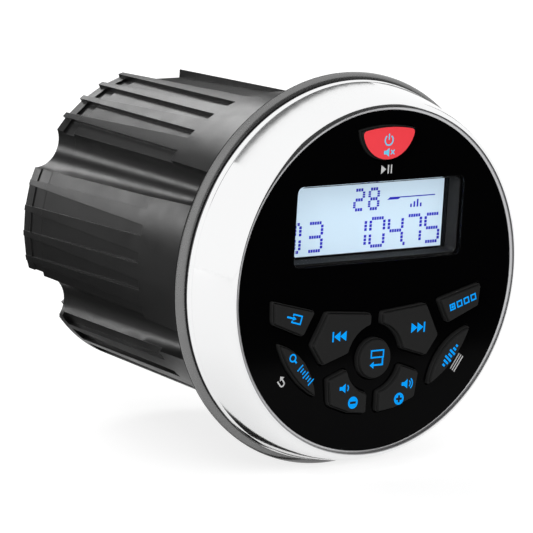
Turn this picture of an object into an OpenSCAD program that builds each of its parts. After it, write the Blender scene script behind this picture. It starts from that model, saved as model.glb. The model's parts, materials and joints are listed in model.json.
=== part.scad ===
// Round gauge-style marine stereo for a hole in a dash panel.
// The origin is the centre of the panel seat, on the axis of the body.
// The face looks along -Y, the ribbed body runs along +Y, and +Z is up.

/* [Trim ring] */
// Width of the trim ring from the edge of the face to its back edge
trim_w = 5.85; // [5.4:0.05:8]
// Distance from the edge of the face to the crest of the trim ring
crest_w = 1.15; // [0.95:0.05:1.5]
// How far the crest stands in front of the face
trim_crest_h = 0.7; // [0.6:0.05:1.2]
// How far the lip of the trim ring covers the edge of the face plate
trim_lip = 1.1; // [0.8:0.1:1.3]
// Wall of the trim ring at its back edge
trim_skirt = 2; // [1.6:0.1:2.4]

/* [Face] */
// How much wider the face is than the body behind the panel
face_margin = 4.3; // [4:0.1:5.4]
// Thickness of the face plate
face_t = 2.4; // [2:0.1:2.6]
// Distance from a side of the window to the edge of the face
window_side = 17.95; // [17.5:0.05:21]
// Height of the display window
window_h = 22; // [18:0.2:22.8]
// Distance from the top of the window to the edge of the face
window_top = 19.35; // [18.7:0.05:19.6]
// Corner radius of the window
window_corner = 2.2; // [1:0.1:3]

/* [Display] */
// Thickness of the clear lens
lens_t = 1.5; // [1:0.1:1.6]
// Distance from the face to the display glass
display_depth = 7.5; // [6.5:0.1:7.6]
// Thickness of the display glass
glass_t = 1.8; // [1.2:0.1:1.9]
// Thickness of the light guide behind the glass
light_guide_t = 2.4; // [1.6:0.1:2.6]
// Room between the light guide and the housing flange
display_room = 0.9; // [0.6:0.05:3]
// Wall of the display frame round the glass
frame_wall = 1.4; // [1.2:0.1:1.6]
// Width of the frame edge that shows round the window
frame_reveal = 0.7; // [0.6:0.05:1]

/* [Keys] */
// How far the black keys stand in front of the face
key_h = 1.8; // [1.5:0.1:2.4]
// How far the power key stands in front of the face
power_key_h = 1.4; // [1.2:0.1:2]
// How far each key travels
key_travel = 1; // [0.6:0.05:1]
// Gap round each key in the face plate
key_gap = 0.35; // [0.25:0.05:0.5]
// Width of the flange that keeps a key behind the face plate
key_flange_w = 0.9; // [0.7:0.05:1]
// Thickness of the key flange
key_flange_t = 1; // [0.8:0.05:1.1]
// Diameter of the key stems
stem_d = 2.8; // [2:0.1:3.2]
// Diameter of the round centre key
enter_d = 11.3; // [10:0.1:12]
// Height of the middle of the centre key over the axis
enter_z = -21.1; // [-21.4:0.1:-20.8]
// Radius of the ring that the four inner keys bend round
key_ring_r = 9.5; // [9.2:0.05:9.8]
// Radius of the half-moon power key
power_key_r = 9.4; // [8.6:0.1:9.8]
// Height of the top edge of the power key over the axis
power_key_top = 42.6; // [42.2:0.1:42.8]

/* [Gasket and flange] */
// How far the panel gasket stands out past the trim ring
gasket_over = 1.6; // [1:0.1:4]
// Thickness of the panel gasket
gasket_t = 2.6; // [2:0.1:3]
// Thickness of the housing flange
flange_t = 3.3; // [2.8:0.1:3.6]
// How far the flange screws stand inside the surface of the body
flange_screw_inset = 0.9; // [0.7:0.05:1.1]
// Angle of the flange screws and flutes from the horizontal
flute_angle = 30; // [29:0.5:31]

/* [Carrier and key board] */
// Wall of the carrier ring
carrier_wall = 1.9; // [1.7:0.1:2.1]
// Thickness of the carrier foot that the key board sits on
foot_t = 1.8; // [1.6:0.1:2]
// How far the carrier foot reaches in under the key board
ledge_w = 2.8; // [2.4:0.1:3.2]
// Thickness of the key board
key_board_t = 1.6; // [1.2:0.1:1.8]
// Height of a press switch over the key board
switch_h = 1.4; // [1.2:0.1:1.6]
// Thickness of the keypad mat
mat_t = 0.9; // [0.7:0.05:1]

/* [Body] */
// Diameter of the body where it passes through the panel
spigot_d = 89; // [84:0.5:96]
// Length of the straight part of the body behind the panel seat
spigot_l = 8; // [6:0.5:12]
// How much narrower the body is at its rear end
body_taper = 5.6; // [4.6:0.1:6.4]
// Distance from the panel seat to the joint of the rear cover
housing_l = 79.5; // [78:0.5:90]
// Length of the rear cover
cover_l = 8.4; // [8:0.1:12]
// Wall from the straight surface of the body to the bore
body_wall = 11.5; // [11.3:0.1:12]
// Distance from the panel seat to the front ends of the pockets
collar_l = 30.5; // [24:0.5:40]
// Width of a rib at its front end
rib_front_w = 4.7; // [4.2:0.1:5.2]
// Width of a rib at its rear end
rib_rear_w = 1.5; // [1.2:0.1:2]
// Angle from one rib to the next
rib_pitch = 10; // [9.5:0.1:10.5]
// Depth of a pocket at its front end
pocket_front_depth = 1.3; // [0.8:0.05:1.6]
// Depth of a pocket of the top and bottom lobes at its rear end
pocket_rear_depth = 1.1; // [0.8:0.05:1.7]
// Depth of a pocket of the side lobes at its rear end
side_pocket_rear_depth = 0.6; // [0.5:0.05:0.8]
// Depth of the wide top and bottom pockets at their front ends
keyway_front_depth = 2; // [1.5:0.1:2.4]
// Depth of the wide top and bottom pockets at their rear ends
keyway_rear_depth = 3.6; // [3:0.1:3.8]
// Radius of a flute at its front end
flute_front_r = 4.6; // [4.4:0.05:4.8]
// Radius of a flute at its rear end
flute_rear_r = 7.4; // [7:0.1:7.8]
// Depth of a flute at its rear end
flute_rear_depth = 4.7; // [4:0.1:4.8]

/* [Rear cover] */
// Thickness of the rear plate
cover_plate_t = 3; // [2.6:0.1:3.4]
// Width of the rim at the rear edge
rim_w = 3.2; // [2.6:0.1:3.6]
// How far the rim lies below the ribs of the side lobes
side_rim_drop = 0.3; // [0.2:0.05:0.8]
// How far the rim lies below the ribs of the top lobe
top_rim_drop = 1.1; // [0.7:0.05:1.6]
// How far the recess in front of the rim lies below the ribs of the side lobes
side_recess_drop = 0.65; // [0.6:0.05:1.8]
// How far the recess in front of the rim lies below the ribs of the top lobe
top_recess_drop = 1.8; // [1.7:0.1:2.8]
// How far the rear cover reaches in over the bore
cover_reach = 4.7; // [4.5:0.1:5]
// Wall between the hollow of the cover and the two lower notches
notch_wall = 3.2; // [2.7:0.1:3.7]
// Width of the two lower notches
notch_w = 15; // [14:0.2:16]
// Thickness of the web that closes the housing in front of the lower notches
notch_web = 1.6; // [1.4:0.1:2]
// How far the bottom lobe ends before the rear end
lower_step = 5.8; // [3:0.1:6]
// How far the rear cover screws stand inside the wall of the bore
cover_screw_inset = 0.5; // [0.3:0.05:0.7]
// Depth of the screw bosses in the housing
cover_boss_l = 14; // [12:0.5:16]
// Diameter of the clamp studs
stud_d = 5; // [4:0.5:6]
// Room between a stud head and the wall of the hollow in the cover
stud_room = 1.8; // [0.8:0.1:3.8]
// How far the clamp studs stand out behind the cover
stud_l = 15; // [12:0.5:18]
// Bore of the aerial socket
antenna_bore_d = 8; // [7:0.1:8.4]
// Depth of the bore of the aerial socket
antenna_bore_l = 12; // [8:0.5:13]
// Bore of the harness socket
harness_bore_d = 13; // [11:0.1:13.6]
// Depth of the bore of the harness socket
harness_bore_l = 10; // [7:0.5:11]
// How far the two sockets stand out behind the cover
socket_l = 9; // [7:0.5:12]
// Room between the harness socket and the wall of the hollow in the cover
socket_room = 2.8; // [1.8:0.1:3.8]

/* [Electronics] */
// Gap between the main board and the wall of the bore
board_edge_gap = 2; // [1.5:0.1:3]
// Distance from the rear end of the main board to the joint of the rear cover
board_end_gap = 11.5; // [9:0.5:13]
// Thickness of the main board
board_t = 1.6; // [1.2:0.1:2]
// Height of the top of the main board over the axis
board_z = -12; // [-14:0.5:-10]
// Height of the heat sink
sink_h = 28; // [22:0.5:30]
// Width of the heat sink
sink_w = 44; // [36:0.5:45]
// Length of the heat sink fins
fin_l = 10; // [6:0.5:11]
// Thickness of a fin
fin_t = 1.6; // [1.2:0.1:2]

/* [Fasteners and clearances] */
// Shank diameter of the flange and cover screws
screw_d = 3; // [2.5:0.1:3.2]
// Head diameter of the flange and cover screws
screw_head_d = 5.8; // [5:0.1:6]
// Head height of the flange and cover screws
screw_head_h = 2.2; // [1.6:0.1:2.3]
// Shank diameter of the small board screws
small_screw_d = 2.2; // [1.8:0.1:2.4]
// Head diameter of the small board screws
small_head_d = 4; // [3.4:0.1:4.2]
// Head height of the small board screws
small_head_h = 1.3; // [1:0.1:1.5]
// Section diameter of the ring seals
seal_d = 1.3; // [1:0.05:1.4]
// Gap between pieces that are pushed together
fit_gap = 0.15; // [0.1:0.05:0.2]
// Gap between a moving piece and what it faces
run_gap = 0.3; // [0.25:0.05:0.4]
// Room left round a screw in a clearance hole
hole_gap = 0.2; // [0.1:0.05:0.3]
// Room left round a screw in its own thread
thread_gap = 0.05; // [0.03:0.01:0.08]

/* [Hidden] */
$fn = 96;
// Overshoot of a cut past the face that it opens
over = 1;

// Stations along the axis, from the face to the rear
face_proud = gasket_t + flange_t + display_room + light_guide_t + glass_t + display_depth;
y_face = -face_proud;
y_face_back = y_face + face_t;
y_crest = y_face - trim_crest_h;
y_flange_back = -gasket_t;
y_flange = y_flange_back - flange_t;
y_foot = y_flange - foot_t;
y_board = y_foot - key_board_t;
y_switch = y_board - switch_h;
y_key_flange = y_face_back + run_gap;
y_key_flange_back = y_key_flange + key_flange_t;
y_stem_end = y_switch - run_gap - key_travel;
y_mat = y_key_flange_back + key_travel + run_gap;
y_mat_back = y_mat + mat_t;
y_lens_back = y_face + lens_t;
y_glass = y_face + display_depth;
y_glass_back = y_glass + glass_t;
y_light_back = y_glass_back + light_guide_t;
body_l = housing_l + cover_l;
y_plate = body_l - cover_plate_t;
y_rim = body_l - rim_w;
y_socket_end = body_l + socket_l;
y_step = body_l - lower_step;

// Radii of the turned pieces
spigot_r = spigot_d / 2;
face_r = spigot_r + face_margin / 2;
trim_r = face_r + trim_w;
crest_r = face_r + crest_w;
plate_r = face_r + trim_lip;
carrier_r = plate_r;
carrier_in_r = carrier_r - carrier_wall;
ledge_r = carrier_in_r - ledge_w;
skirt_in_r = trim_r - trim_skirt;
foot_r = skirt_in_r - run_gap;
key_board_r = carrier_in_r - run_gap;
bore_r = spigot_r - body_wall;
cover_bore_r = bore_r - cover_reach;
cover_screw_circle = bore_r - cover_screw_inset;
notch_floor = cover_bore_r + notch_wall;
body_rear_r = spigot_r - body_taper / 2;
flange_screw_circle = spigot_r - flange_screw_inset;
gasket_r = trim_r + gasket_over;
screw_r = screw_d / 2;
head_r = screw_head_d / 2;
small_r = small_screw_d / 2;
small_head_r = small_head_d / 2;
seal_r = seal_d / 2;
stem_r = stem_d / 2;
enter_r = enter_d / 2;
antenna_bore_r = antenna_bore_d / 2;
harness_bore_r = harness_bore_d / 2;
stud_r = stud_d / 2;
trim_gap = 0.55;
trim_bead_l = 1.9;
trim_waist = 0.45;
crest_flat = 0.5;
trim_shoulder_w = 0.7;
trim_shoulder_h = 0.3;
trim_bulge = 0.62;
trim_steps = 8;
gasket_slope = 0.8;
gasket_edge = 0.5;
gasket_in_r = flange_screw_circle + head_r + 2 * run_gap;
flange_boss_r = 3.4;
flange_pilot_l = 8;
seal_room = 0.5;
seal_margin = 0.7;
seal_groove_w = seal_d + seal_room;
face_seal_circle = foot_r - seal_groove_w / 2 - seal_margin;
rear_seal_circle = bore_r + seal_groove_w / 2 + seal_margin;
key_screw_circle = carrier_in_r - ledge_w / 2 - run_gap;
key_screw_angles = [55, 125, 235, 305];
key_screw_floor = 0.4;
key_screw_l = foot_t - key_screw_floor;
key_screw_r = 0.7;
key_screw_head_r = 1.3;
flute_angles = [flute_angle, 180 - flute_angle, 180 + flute_angle, 360 - flute_angle];
cover_screw_angles = [0, 90, 180, 270];
cover_boss_r = 3.2;
glass_margin = 0.7;
frame_ear_w = 1.6;
frame_ear_t = 1;

// Size and place of the display window
window_w = 2 * (face_r - window_side);
window_z = face_r - window_top - window_h / 2;

// The keys are drawn for a face of this radius and follow the face from there
drawn_face_r = 46.65;
key_scale = face_r / drawn_face_r;
ring_r = key_ring_r * key_scale;
power_r = power_key_r * key_scale;
power_top = power_key_top * key_scale;

// Corner points of the right-hand keys, as x and z
enter_at = [0, enter_z * key_scale];
key_corner = 0.9;
inner_edge = 1.9;
next_tail = 12;
next_corners = key_scale * [[17.8, -21.8], [21.9, -16.1], [17.1, -7.1], [inner_edge, -8.45]];
volume_head = -14;
volume_corners = key_scale * [[inner_edge, -36.2], [8, -35.5], [14.7, -33], [15.7, -25.7]];
preset_corners = key_scale * [[25.1, -13.3], [35.4, -9.2], [35.9, -2.85], [21.3, -6.5]];
audio_tip = key_scale * [33.1, -14.6];
audio_foot = key_scale * [19.5, -30.2];
audio_bulge_out = 2 * key_scale;
audio_bulge_in = 3.3 * key_scale;
power_sink = 0.1;
power_lean = 6;

// Where each stem stands, right-hand keys first
power_stem = key_scale * [0, 38.4];
next_stem = key_scale * [13.4, -14];
volume_stem = key_scale * [8.6, -30.6];
preset_stem = key_scale * [29.6, -7.8];
audio_stem = key_scale * [25.9, -21.9];

// Rounding of the drawn corners
flat_turn = 150;
edge_share = 0.45;
corner_steps = 4;
least_corner = 0.3;

// Point at radius r and angle a round the axis
function polar(r, a) = r * [cos(a), sin(a)];

// Arc of n steps round centre c
function arc(c, r, a0, a1, n) = [for (i = [0:n]) c + polar(r, a0 + (a1 - a0) * i / n)];

// Bow of n steps from a towards b that stands h to the right of the line
function bow(a, b, h, n) =
    let (d = b - a, side = [d[1], -d[0]] / norm(d))
    [for (i = [0:n - 1]) let (s = i / n) a + d * s + side * 4 * h * s * (1 - s)];

// Outline with its corners rounded by short curves
function soften(p, r) =
    [for (i = [0:len(p) - 1])
        let (a = p[(i + len(p) - 1) % len(p)], b = p[i], c = p[(i + 1) % len(p)])
        let (u = a - b, v = c - b, turn = acos(max(-1, min(1, u * v / norm(u) / norm(v)))))
        each turn > flat_turn ? [b]
            : curve(b, u, v, min(r, edge_share * norm(u), edge_share * norm(v)), corner_steps)];

// Curve that cuts the corner b between directions u and v
function curve(b, u, v, t, n) =
    let (from = b + u * t / norm(u), to = b + v * t / norm(v))
    [for (i = [0:n]) let (s = i / n) from * pow(1 - s, 2) + b * 2 * s * (1 - s) + to * pow(s, 2)];

// Outline moved out by d all round, for points that run anticlockwise
function grow(p, d) =
    [for (i = [0:len(p) - 1])
        let (a = p[(i + len(p) - 1) % len(p)], b = p[i], c = p[(i + 1) % len(p)])
        let (m = edge_side(a, b), n = edge_side(b, c))
        b + (m + n) * d / (1 + m * n)];

// Outward side of the edge from a to b
function edge_side(a, b) = [b[1] - a[1], a[0] - b[0]] / norm(b - a);

// Outline swapped left to right
function flip(p) = [for (i = [len(p) - 1:-1:0]) [-p[i][0], p[i][1]]];

// Point swapped left to right
function flip_point(p) = [-p[0], p[1]];

// Rectangle with rounded corners, centred on x = 0
function window_outline(extra) =
    let (w = window_w / 2 + extra, h = window_h / 2 + extra)
    soften([[-w, window_z - h], [w, window_z - h], [w, window_z + h], [-w, window_z + h]],
        max(window_corner + extra, least_corner));

next_ring = arc(enter_at, ring_r, acos(inner_edge / key_ring_r), next_tail, 6);
next_outline = soften(concat(next_corners, next_ring), key_corner);
volume_ring = arc(enter_at, ring_r, volume_head, -acos(inner_edge / key_ring_r), 6);
volume_outline = soften(concat(volume_corners, volume_ring), key_corner);
preset_outline = soften(preset_corners, key_corner);
audio_outline = soften(concat(bow(audio_foot, audio_tip, audio_bulge_out, 8),
    bow(audio_tip, audio_foot, audio_bulge_in, 8)), key_corner);
power_half = asin((power_r - power_sink / 2) / power_top);
power_moon = arc([0, power_top - power_sink], power_r, 180 + power_lean, 360 - power_lean, 16);
power_crown = arc([0, 0], power_top, 90 - power_half, 90 + power_half, 8);
power_outline = soften(concat(power_moon, power_crown), key_corner);

// The nine keys with a drawn outline, and the stems of all ten
key_outlines = [power_outline, preset_outline, flip(preset_outline), next_outline, flip(next_outline),
    audio_outline, flip(audio_outline), volume_outline, flip(volume_outline)];
stems = [enter_at, power_stem, preset_stem, flip_point(preset_stem), next_stem, flip_point(next_stem),
    audio_stem, flip_point(audio_stem), volume_stem, flip_point(volume_stem)];

// Radius of the plain body at station y
function body_r(y) = y <= spigot_l ? spigot_r
    : spigot_r + (body_rear_r - spigot_r) * (y - spigot_l) / (body_l - spigot_l);

// Middles of the side lobes, and of the lobes with a wide pocket in the middle
side_lobes = [0, 180];
top_lobes = [90];
keyed_lobes = [90, 270];
edge_reach = 5;
pocket_drops = [pocket_front_depth, pocket_rear_depth];
side_pocket_drops = [pocket_front_depth, side_pocket_rear_depth];
keyway_drops = [keyway_front_depth, keyway_rear_depth];
side_recess_drops = [side_recess_drop, side_recess_drop];
top_recess_drops = [top_recess_drop, top_recess_drop];
side_rim_drops = [side_rim_drop, side_rim_drop];
top_rim_drops = [top_rim_drop, top_rim_drop];
keyway_ends = [keyway_rear_depth, keyway_rear_depth];
cut_h = 12;
flute_start = -6;
neck_drop = 1.5;
lower_share = 0.57;
lower_top = lower_share * body_rear_r;
lower_hub_r = cover_screw_circle + head_r + hole_gap + over;
flute_front_axis = flange_screw_circle;
flute_rear_axis = body_rear_r - flute_rear_depth + flute_rear_r;

// Places on the main board
board_y = 2;
board_under = board_z - board_t;
board_w = 2 * (sqrt(bore_r * bore_r - board_under * board_under) - board_edge_gap);
board_l = housing_l - board_y - board_end_gap;
rail_w = 8;
rail_t = 3.4;
rail_in = board_w / 2 - rail_w / 2;
rail_reach = bore_r + over - rail_in;
board_screw_edge = 2;
board_screw_x = board_w / 2 - board_screw_edge;
board_screw_front = 3.5;
board_screw_rear = 8;
board_screw_ys = [board_y + board_screw_front, board_y + board_l - board_screw_rear];
board_screw_l = 3;
sink_inset = 6;
sink_y = board_y + board_l - sink_inset;
sink_base_t = 3;
fins = 7;
chip_w = 24;
chip_h = 14;
chip_t = 4;
chip_lift = 2;
chip_pins = 11;
pin_w = 0.7;
capacitor_r = 5;
capacitor_h = 18;
capacitor_edge = 12;
capacitor_ys = [7.5, 18.5, 29.5];
column_x = board_w / 2 - capacitor_edge;
choke_at = [column_x, 15];
choke_r = 6.4;
choke_wire_r = 3;
choke_base_t = 1;
choke_sink = 0.3;
tuner_at = [column_x, 38];
tuner_size = [20, 18, 10];
wireless_size = [16, 12, 1];
wireless_room = 5;
wireless_at = [-column_x, board_l - sink_inset - wireless_room - wireless_size[1] / 2];
wireless_can = [10, 8, 2.4];
link_w = 14;
link_x = 0;
link_h = 6;
link_l = 6;
socket_flange_t = 2;
socket_wall = 2;
antenna_out_r = antenna_bore_r + socket_wall;
harness_out_r = harness_bore_r + socket_wall;
socket_offset = cover_bore_r - harness_out_r - socket_room;
socket_flange_w = 2;
socket_tail = 4;
stud_head_r = 4.5;
stud_x = cover_bore_r - stud_head_r - stud_room;
stud_head_h = 2.4;
stud_shoulder_w = 0.9;
stud_shoulder_r = stud_r + stud_shoulder_w;
switch_w = 4.6;
switch_body_h = 0.9;
switch_tip_r = 1;
mat_rim_w = 1.4;

// Turns x, y, z of a drawing on the face into x, z and depth
module along_y() {
    rotate([-90, 0, 0]) mirror([0, 1, 0]) children();
}

// Plate of the given outline from y0 to y1
module slab(points, y0, y1) {
    along_y() translate([0, 0, y0]) linear_extrude(y1 - y0) polygon(points);
}

// Round bar at the point p of the face from y0 to y1
module rod(p, r, y0, y1) {
    along_y() translate([p[0], p[1], y0]) cylinder(h = y1 - y0, r = r);
}

// Round plate on the axis
module disc(r, y0, y1) {
    rod([0, 0], r, y0, y1);
}

// Solid turned round the axis, with the profile as radius and station
module turned(profile) {
    along_y() rotate_extrude() polygon(profile);
}

// Ring seal with its middle at station y
module ring_seal(circle_r, y) {
    along_y() translate([0, 0, y]) rotate_extrude() translate([circle_r, 0]) circle(r = seal_r);
}

// Groove for a ring seal from y0 to y1
module seal_groove(circle_r, y0, y1) {
    half = seal_groove_w / 2;
    turned([[circle_r - half, y0], [circle_r + half, y0], [circle_r + half, y1], [circle_r - half, y1]]);
}

// Screw at the point p with its head seated at y0 and its shank running dir along the axis
module axial_screw(p, y0, length, dir, shank_r, cap_r, cap_h) {
    rod(p, shank_r, dir > 0 ? y0 - cap_h : y0 - length, dir > 0 ? y0 + length : y0 + cap_h);
    rod(p, cap_r, dir > 0 ? y0 - cap_h : y0, dir > 0 ? y0 : y0 + cap_h);
}

// Key with its cap, its keeping flange and its stem
module key(outline, stem, height) {
    slab(outline, y_face - height, y_key_flange_back);
    slab(grow(outline, key_flange_w), y_key_flange, y_key_flange_back);
    rod(stem, stem_r, y_key_flange, y_stem_end);
}

// Wedge cut at an angle round the axis, with its floor at the two radii
module wedge(angle, front, rear, floor_front, floor_rear, y0, y1) {
    length = y1 - y0;
    lean = atan((floor_rear - floor_front) / length);
    run = length / cos(lean);
    along_y() rotate([0, 0, angle]) translate([floor_front, 0, y0]) rotate([0, lean, 0]) rotate([90, 0, 90])
        linear_extrude(cut_h) polygon([[front[0], 0], [front[1], 0], [rear[1], run], [rear[0], run]]);
}

// Width of a rib at station y
function rib_w(y) = rib_front_w + (rib_rear_w - rib_front_w) * (y - collar_l) / (body_l - collar_l);

// Half width left free at station y between two ribs that stand at the angle a from its middle
function free_half(y, a) = body_r(y) * sin(a) - rib_w(y) / 2;

// Cuts the pockets between the ribs of side lobes and of keyed lobes from y0 to y1, with the drops
// of the floor at both ends
module pocket_cuts(sides, keyed, y0, y1, drops, wide_drops) {
    pockets = [for (a = sides) for (i = [-1:1]) a + i * rib_pitch,
        for (a = keyed) for (s = [-1, 1]) for (i = [2:4]) a + s * i * rib_pitch];
    edges = [for (a = sides) for (s = [-1, 1]) [a + s * 2 * rib_pitch, s],
        for (a = keyed) for (s = [-1, 1]) [a + s * 5 * rib_pitch, s]];
    half0 = free_half(y0, rib_pitch / 2);
    half1 = free_half(y1, rib_pitch / 2);
    wide0 = free_half(y0, rib_pitch * 1.5);
    wide1 = free_half(y1, rib_pitch * 1.5);
    floor0 = body_r(y0) - drops[0];
    floor1 = body_r(y1) - drops[1];
    for (a = pockets) wedge(a, [-half0, half0], [-half1, half1], floor0, floor1, y0, y1);
    for (e = edges) {
        front = e[1] > 0 ? [-half0, edge_reach] : [-edge_reach, half0];
        rear = e[1] > 0 ? [-half1, edge_reach] : [-edge_reach, half1];
        wedge(e[0], front, rear, floor0, floor1, y0, y1);
    }
    for (a = keyed)
        wedge(a, [-wide0, wide0], [-wide1, wide1],
            body_r(y0) - wide_drops[0], body_r(y1) - wide_drops[1], y0, y1);
}

// Four flutes that give the flange screws a way in
module flute_cuts() {
    run = body_l + over - flute_start;
    lean = atan((flute_rear_axis - flute_front_axis) / (body_l - flute_start));
    for (a = flute_angles)
        along_y() rotate([0, 0, a]) translate([flute_front_axis, 0, flute_start]) rotate([0, lean, 0])
            cylinder(h = run / cos(lean), r1 = flute_front_r, r2 = flute_rear_r);
}

// Plain body from y0 to y1
module plain_body(y0, y1) {
    neck_r = spigot_r - neck_drop;
    neck = y0 < 0 ? [[neck_r, y0], [neck_r, 0], [spigot_r, 0], [spigot_r, spigot_l]] : [[body_r(y0), y0]];
    turned(concat([[0, y0]], neck, [[body_r(y1), y1], [0, y1]]));
}

module trim_bezel() {
    color("whitesmoke")
        turned([[face_r, y_face], [face_r, y_face - trim_crest_h / 2], [crest_r - crest_flat, y_crest],
            [crest_r, y_crest], for (i = [0:trim_steps]) trim_side(i / trim_steps),
            [trim_r, y_flange_back - trim_gap - trim_bead_l], [trim_r, y_flange_back - trim_gap],
            [skirt_in_r, y_flange_back - trim_gap], [skirt_in_r, y_foot - run_gap],
            [plate_r + fit_gap, y_foot - run_gap], [plate_r + fit_gap, y_face]]);
}

// Point of the bulged side of the trim ring, from the crest at 0 to the bead at 1
function trim_side(s) =
    let (r0 = crest_r + trim_shoulder_w, r1 = trim_r - trim_waist)
    let (y0 = y_crest + trim_shoulder_h, y1 = y_flange_back - trim_gap - trim_bead_l)
    [r0 + (r1 - r0) * pow(s, trim_bulge), y0 + (y1 - y0) * s];

module face_panel() {
    color("black")
        difference() {
            disc(plate_r, y_face, y_face_back);
            slab(window_outline(0), y_face - over, y_face_back + over);
            for (p = key_outlines) slab(grow(p, key_gap), y_face - over, y_face_back + over);
            rod(enter_at, enter_r + key_gap, y_face - over, y_face_back + over);
        }
}

module display_lens() {
    color("lightskyblue", 0.35) slab(window_outline(-fit_gap), y_face, y_lens_back);
}

module lcd_frame() {
    outer = frame_wall + glass_margin + fit_gap;
    color("dimgray")
        difference() {
            union() {
                slab(window_outline(-fit_gap), y_lens_back, y_glass);
                slab(window_outline(outer), y_face_back, y_light_back);
                slab(window_outline(outer + frame_ear_w), y_board - frame_ear_t, y_board);
            }
            slab(window_outline(-frame_reveal), y_lens_back - over, y_light_back + over);
            slab(window_outline(glass_margin + fit_gap), y_glass, y_light_back + over);
        }
}

module lcd_panel() {
    color("lightblue") slab(window_outline(glass_margin), y_glass, y_glass_back);
}

module lcd_backlight() {
    color("white") slab(window_outline(glass_margin), y_glass_back, y_light_back);
}

module key_power() {
    color("red") key(power_outline, power_stem, power_key_h);
}

module key_preset() {
    color([0.15, 0.15, 0.15]) key(preset_outline, preset_stem, key_h);
}

module key_source() {
    color([0.15, 0.15, 0.15]) key(flip(preset_outline), flip_point(preset_stem), key_h);
}

module key_next() {
    color([0.15, 0.15, 0.15]) key(next_outline, next_stem, key_h);
}

module key_previous() {
    color([0.15, 0.15, 0.15]) key(flip(next_outline), flip_point(next_stem), key_h);
}

module key_audio() {
    color([0.15, 0.15, 0.15]) key(audio_outline, audio_stem, key_h);
}

module key_band() {
    color([0.15, 0.15, 0.15]) key(flip(audio_outline), flip_point(audio_stem), key_h);
}

module key_volume_up() {
    color([0.15, 0.15, 0.15]) key(volume_outline, volume_stem, key_h);
}

module key_volume_down() {
    color([0.15, 0.15, 0.15]) key(flip(volume_outline), flip_point(volume_stem), key_h);
}

module key_enter() {
    color([0.15, 0.15, 0.15]) {
        rod(enter_at, enter_r, y_face - key_h, y_key_flange_back);
        rod(enter_at, enter_r + key_flange_w, y_key_flange, y_key_flange_back);
        rod(enter_at, stem_r, y_key_flange, y_stem_end);
    }
}

// Notches that clear the flange screw bosses
module boss_notches(y0, y1) {
    for (a = flute_angles)
        rod(polar(flange_screw_circle, a), flange_boss_r + run_gap, y0 - over, y1 + over);
}

module keypad_mat() {
    opening = frame_wall + glass_margin + fit_gap + frame_ear_w + run_gap;
    color([0.2, 0.2, 0.2])
        difference() {
            union() {
                disc(key_board_r, y_mat, y_mat_back);
                difference() {
                    disc(key_board_r, y_mat, y_board);
                    disc(key_board_r - mat_rim_w, y_mat - over, y_board + over);
                }
            }
            slab(window_outline(opening), y_mat - over, y_board + over);
            for (p = stems) rod(p, stem_r + run_gap, y_mat - over, y_board + over);
            for (a = key_screw_angles)
                rod(polar(key_screw_circle, a), key_screw_head_r + run_gap, y_mat - over, y_board + over);
            boss_notches(y_mat, y_board);
        }
}

module key_board() {
    opening = frame_wall + glass_margin + 2 * fit_gap;
    color("darkgreen")
        difference() {
            disc(key_board_r, y_board, y_foot);
            slab(window_outline(opening), y_board - over, y_foot + over);
            for (a = key_screw_angles)
                rod(polar(key_screw_circle, a), key_screw_r + hole_gap, y_board - over, y_foot + over);
            boss_notches(y_board, y_foot);
        }
}

module key_switches() {
    color("silver")
        for (p = stems) {
            along_y() translate([p[0] - switch_w / 2, p[1] - switch_w / 2, y_board - switch_body_h])
                cube([switch_w, switch_w, switch_body_h]);
            rod(p, switch_tip_r, y_switch, y_board);
        }
}

module key_board_screws() {
    color("silver")
        for (a = key_screw_angles)
            axial_screw(polar(key_screw_circle, a), y_board, key_board_t + key_screw_l, 1,
                key_screw_r, key_screw_head_r, small_head_h);
}

module front_carrier() {
    color([0.1, 0.1, 0.1])
        difference() {
            union() {
                turned([[carrier_in_r, y_face_back], [carrier_r, y_face_back], [carrier_r, y_foot],
                    [foot_r, y_foot], [foot_r, y_flange], [ledge_r, y_flange], [ledge_r, y_foot],
                    [carrier_in_r, y_foot]]);
                for (a = flute_angles)
                    rod(polar(flange_screw_circle, a), flange_boss_r, y_face_back + run_gap, y_flange);
            }
            for (a = flute_angles)
                rod(polar(flange_screw_circle, a), screw_r + thread_gap,
                    y_flange - flange_pilot_l, y_flange + over);
            for (a = key_screw_angles)
                rod(polar(key_screw_circle, a), key_screw_r + thread_gap,
                    y_foot - over, y_foot + key_screw_l);
        }
}

module face_seal() {
    color([0.05, 0.05, 0.05]) ring_seal(face_seal_circle, y_flange + seal_r);
}

module panel_gasket() {
    color("dimgray")
        turned([[gasket_in_r, y_flange_back], [gasket_r - gasket_slope, y_flange_back],
            [gasket_r, -gasket_edge], [gasket_r, 0], [gasket_in_r, 0]]);
}

// Rails that carry the main board and bosses for the rear cover screws
module housing_inside() {
    intersection() {
        disc(bore_r + over, y_flange_back, housing_l);
        union() {
            for (x = [rail_in, -rail_in - rail_reach])
                translate([x, board_y, board_under - rail_t]) cube([rail_reach, board_l, rail_t]);
            for (a = cover_screw_angles)
                rod(polar(cover_screw_circle, a), cover_boss_r, housing_l - cover_boss_l, housing_l);
        }
    }
}

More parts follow.
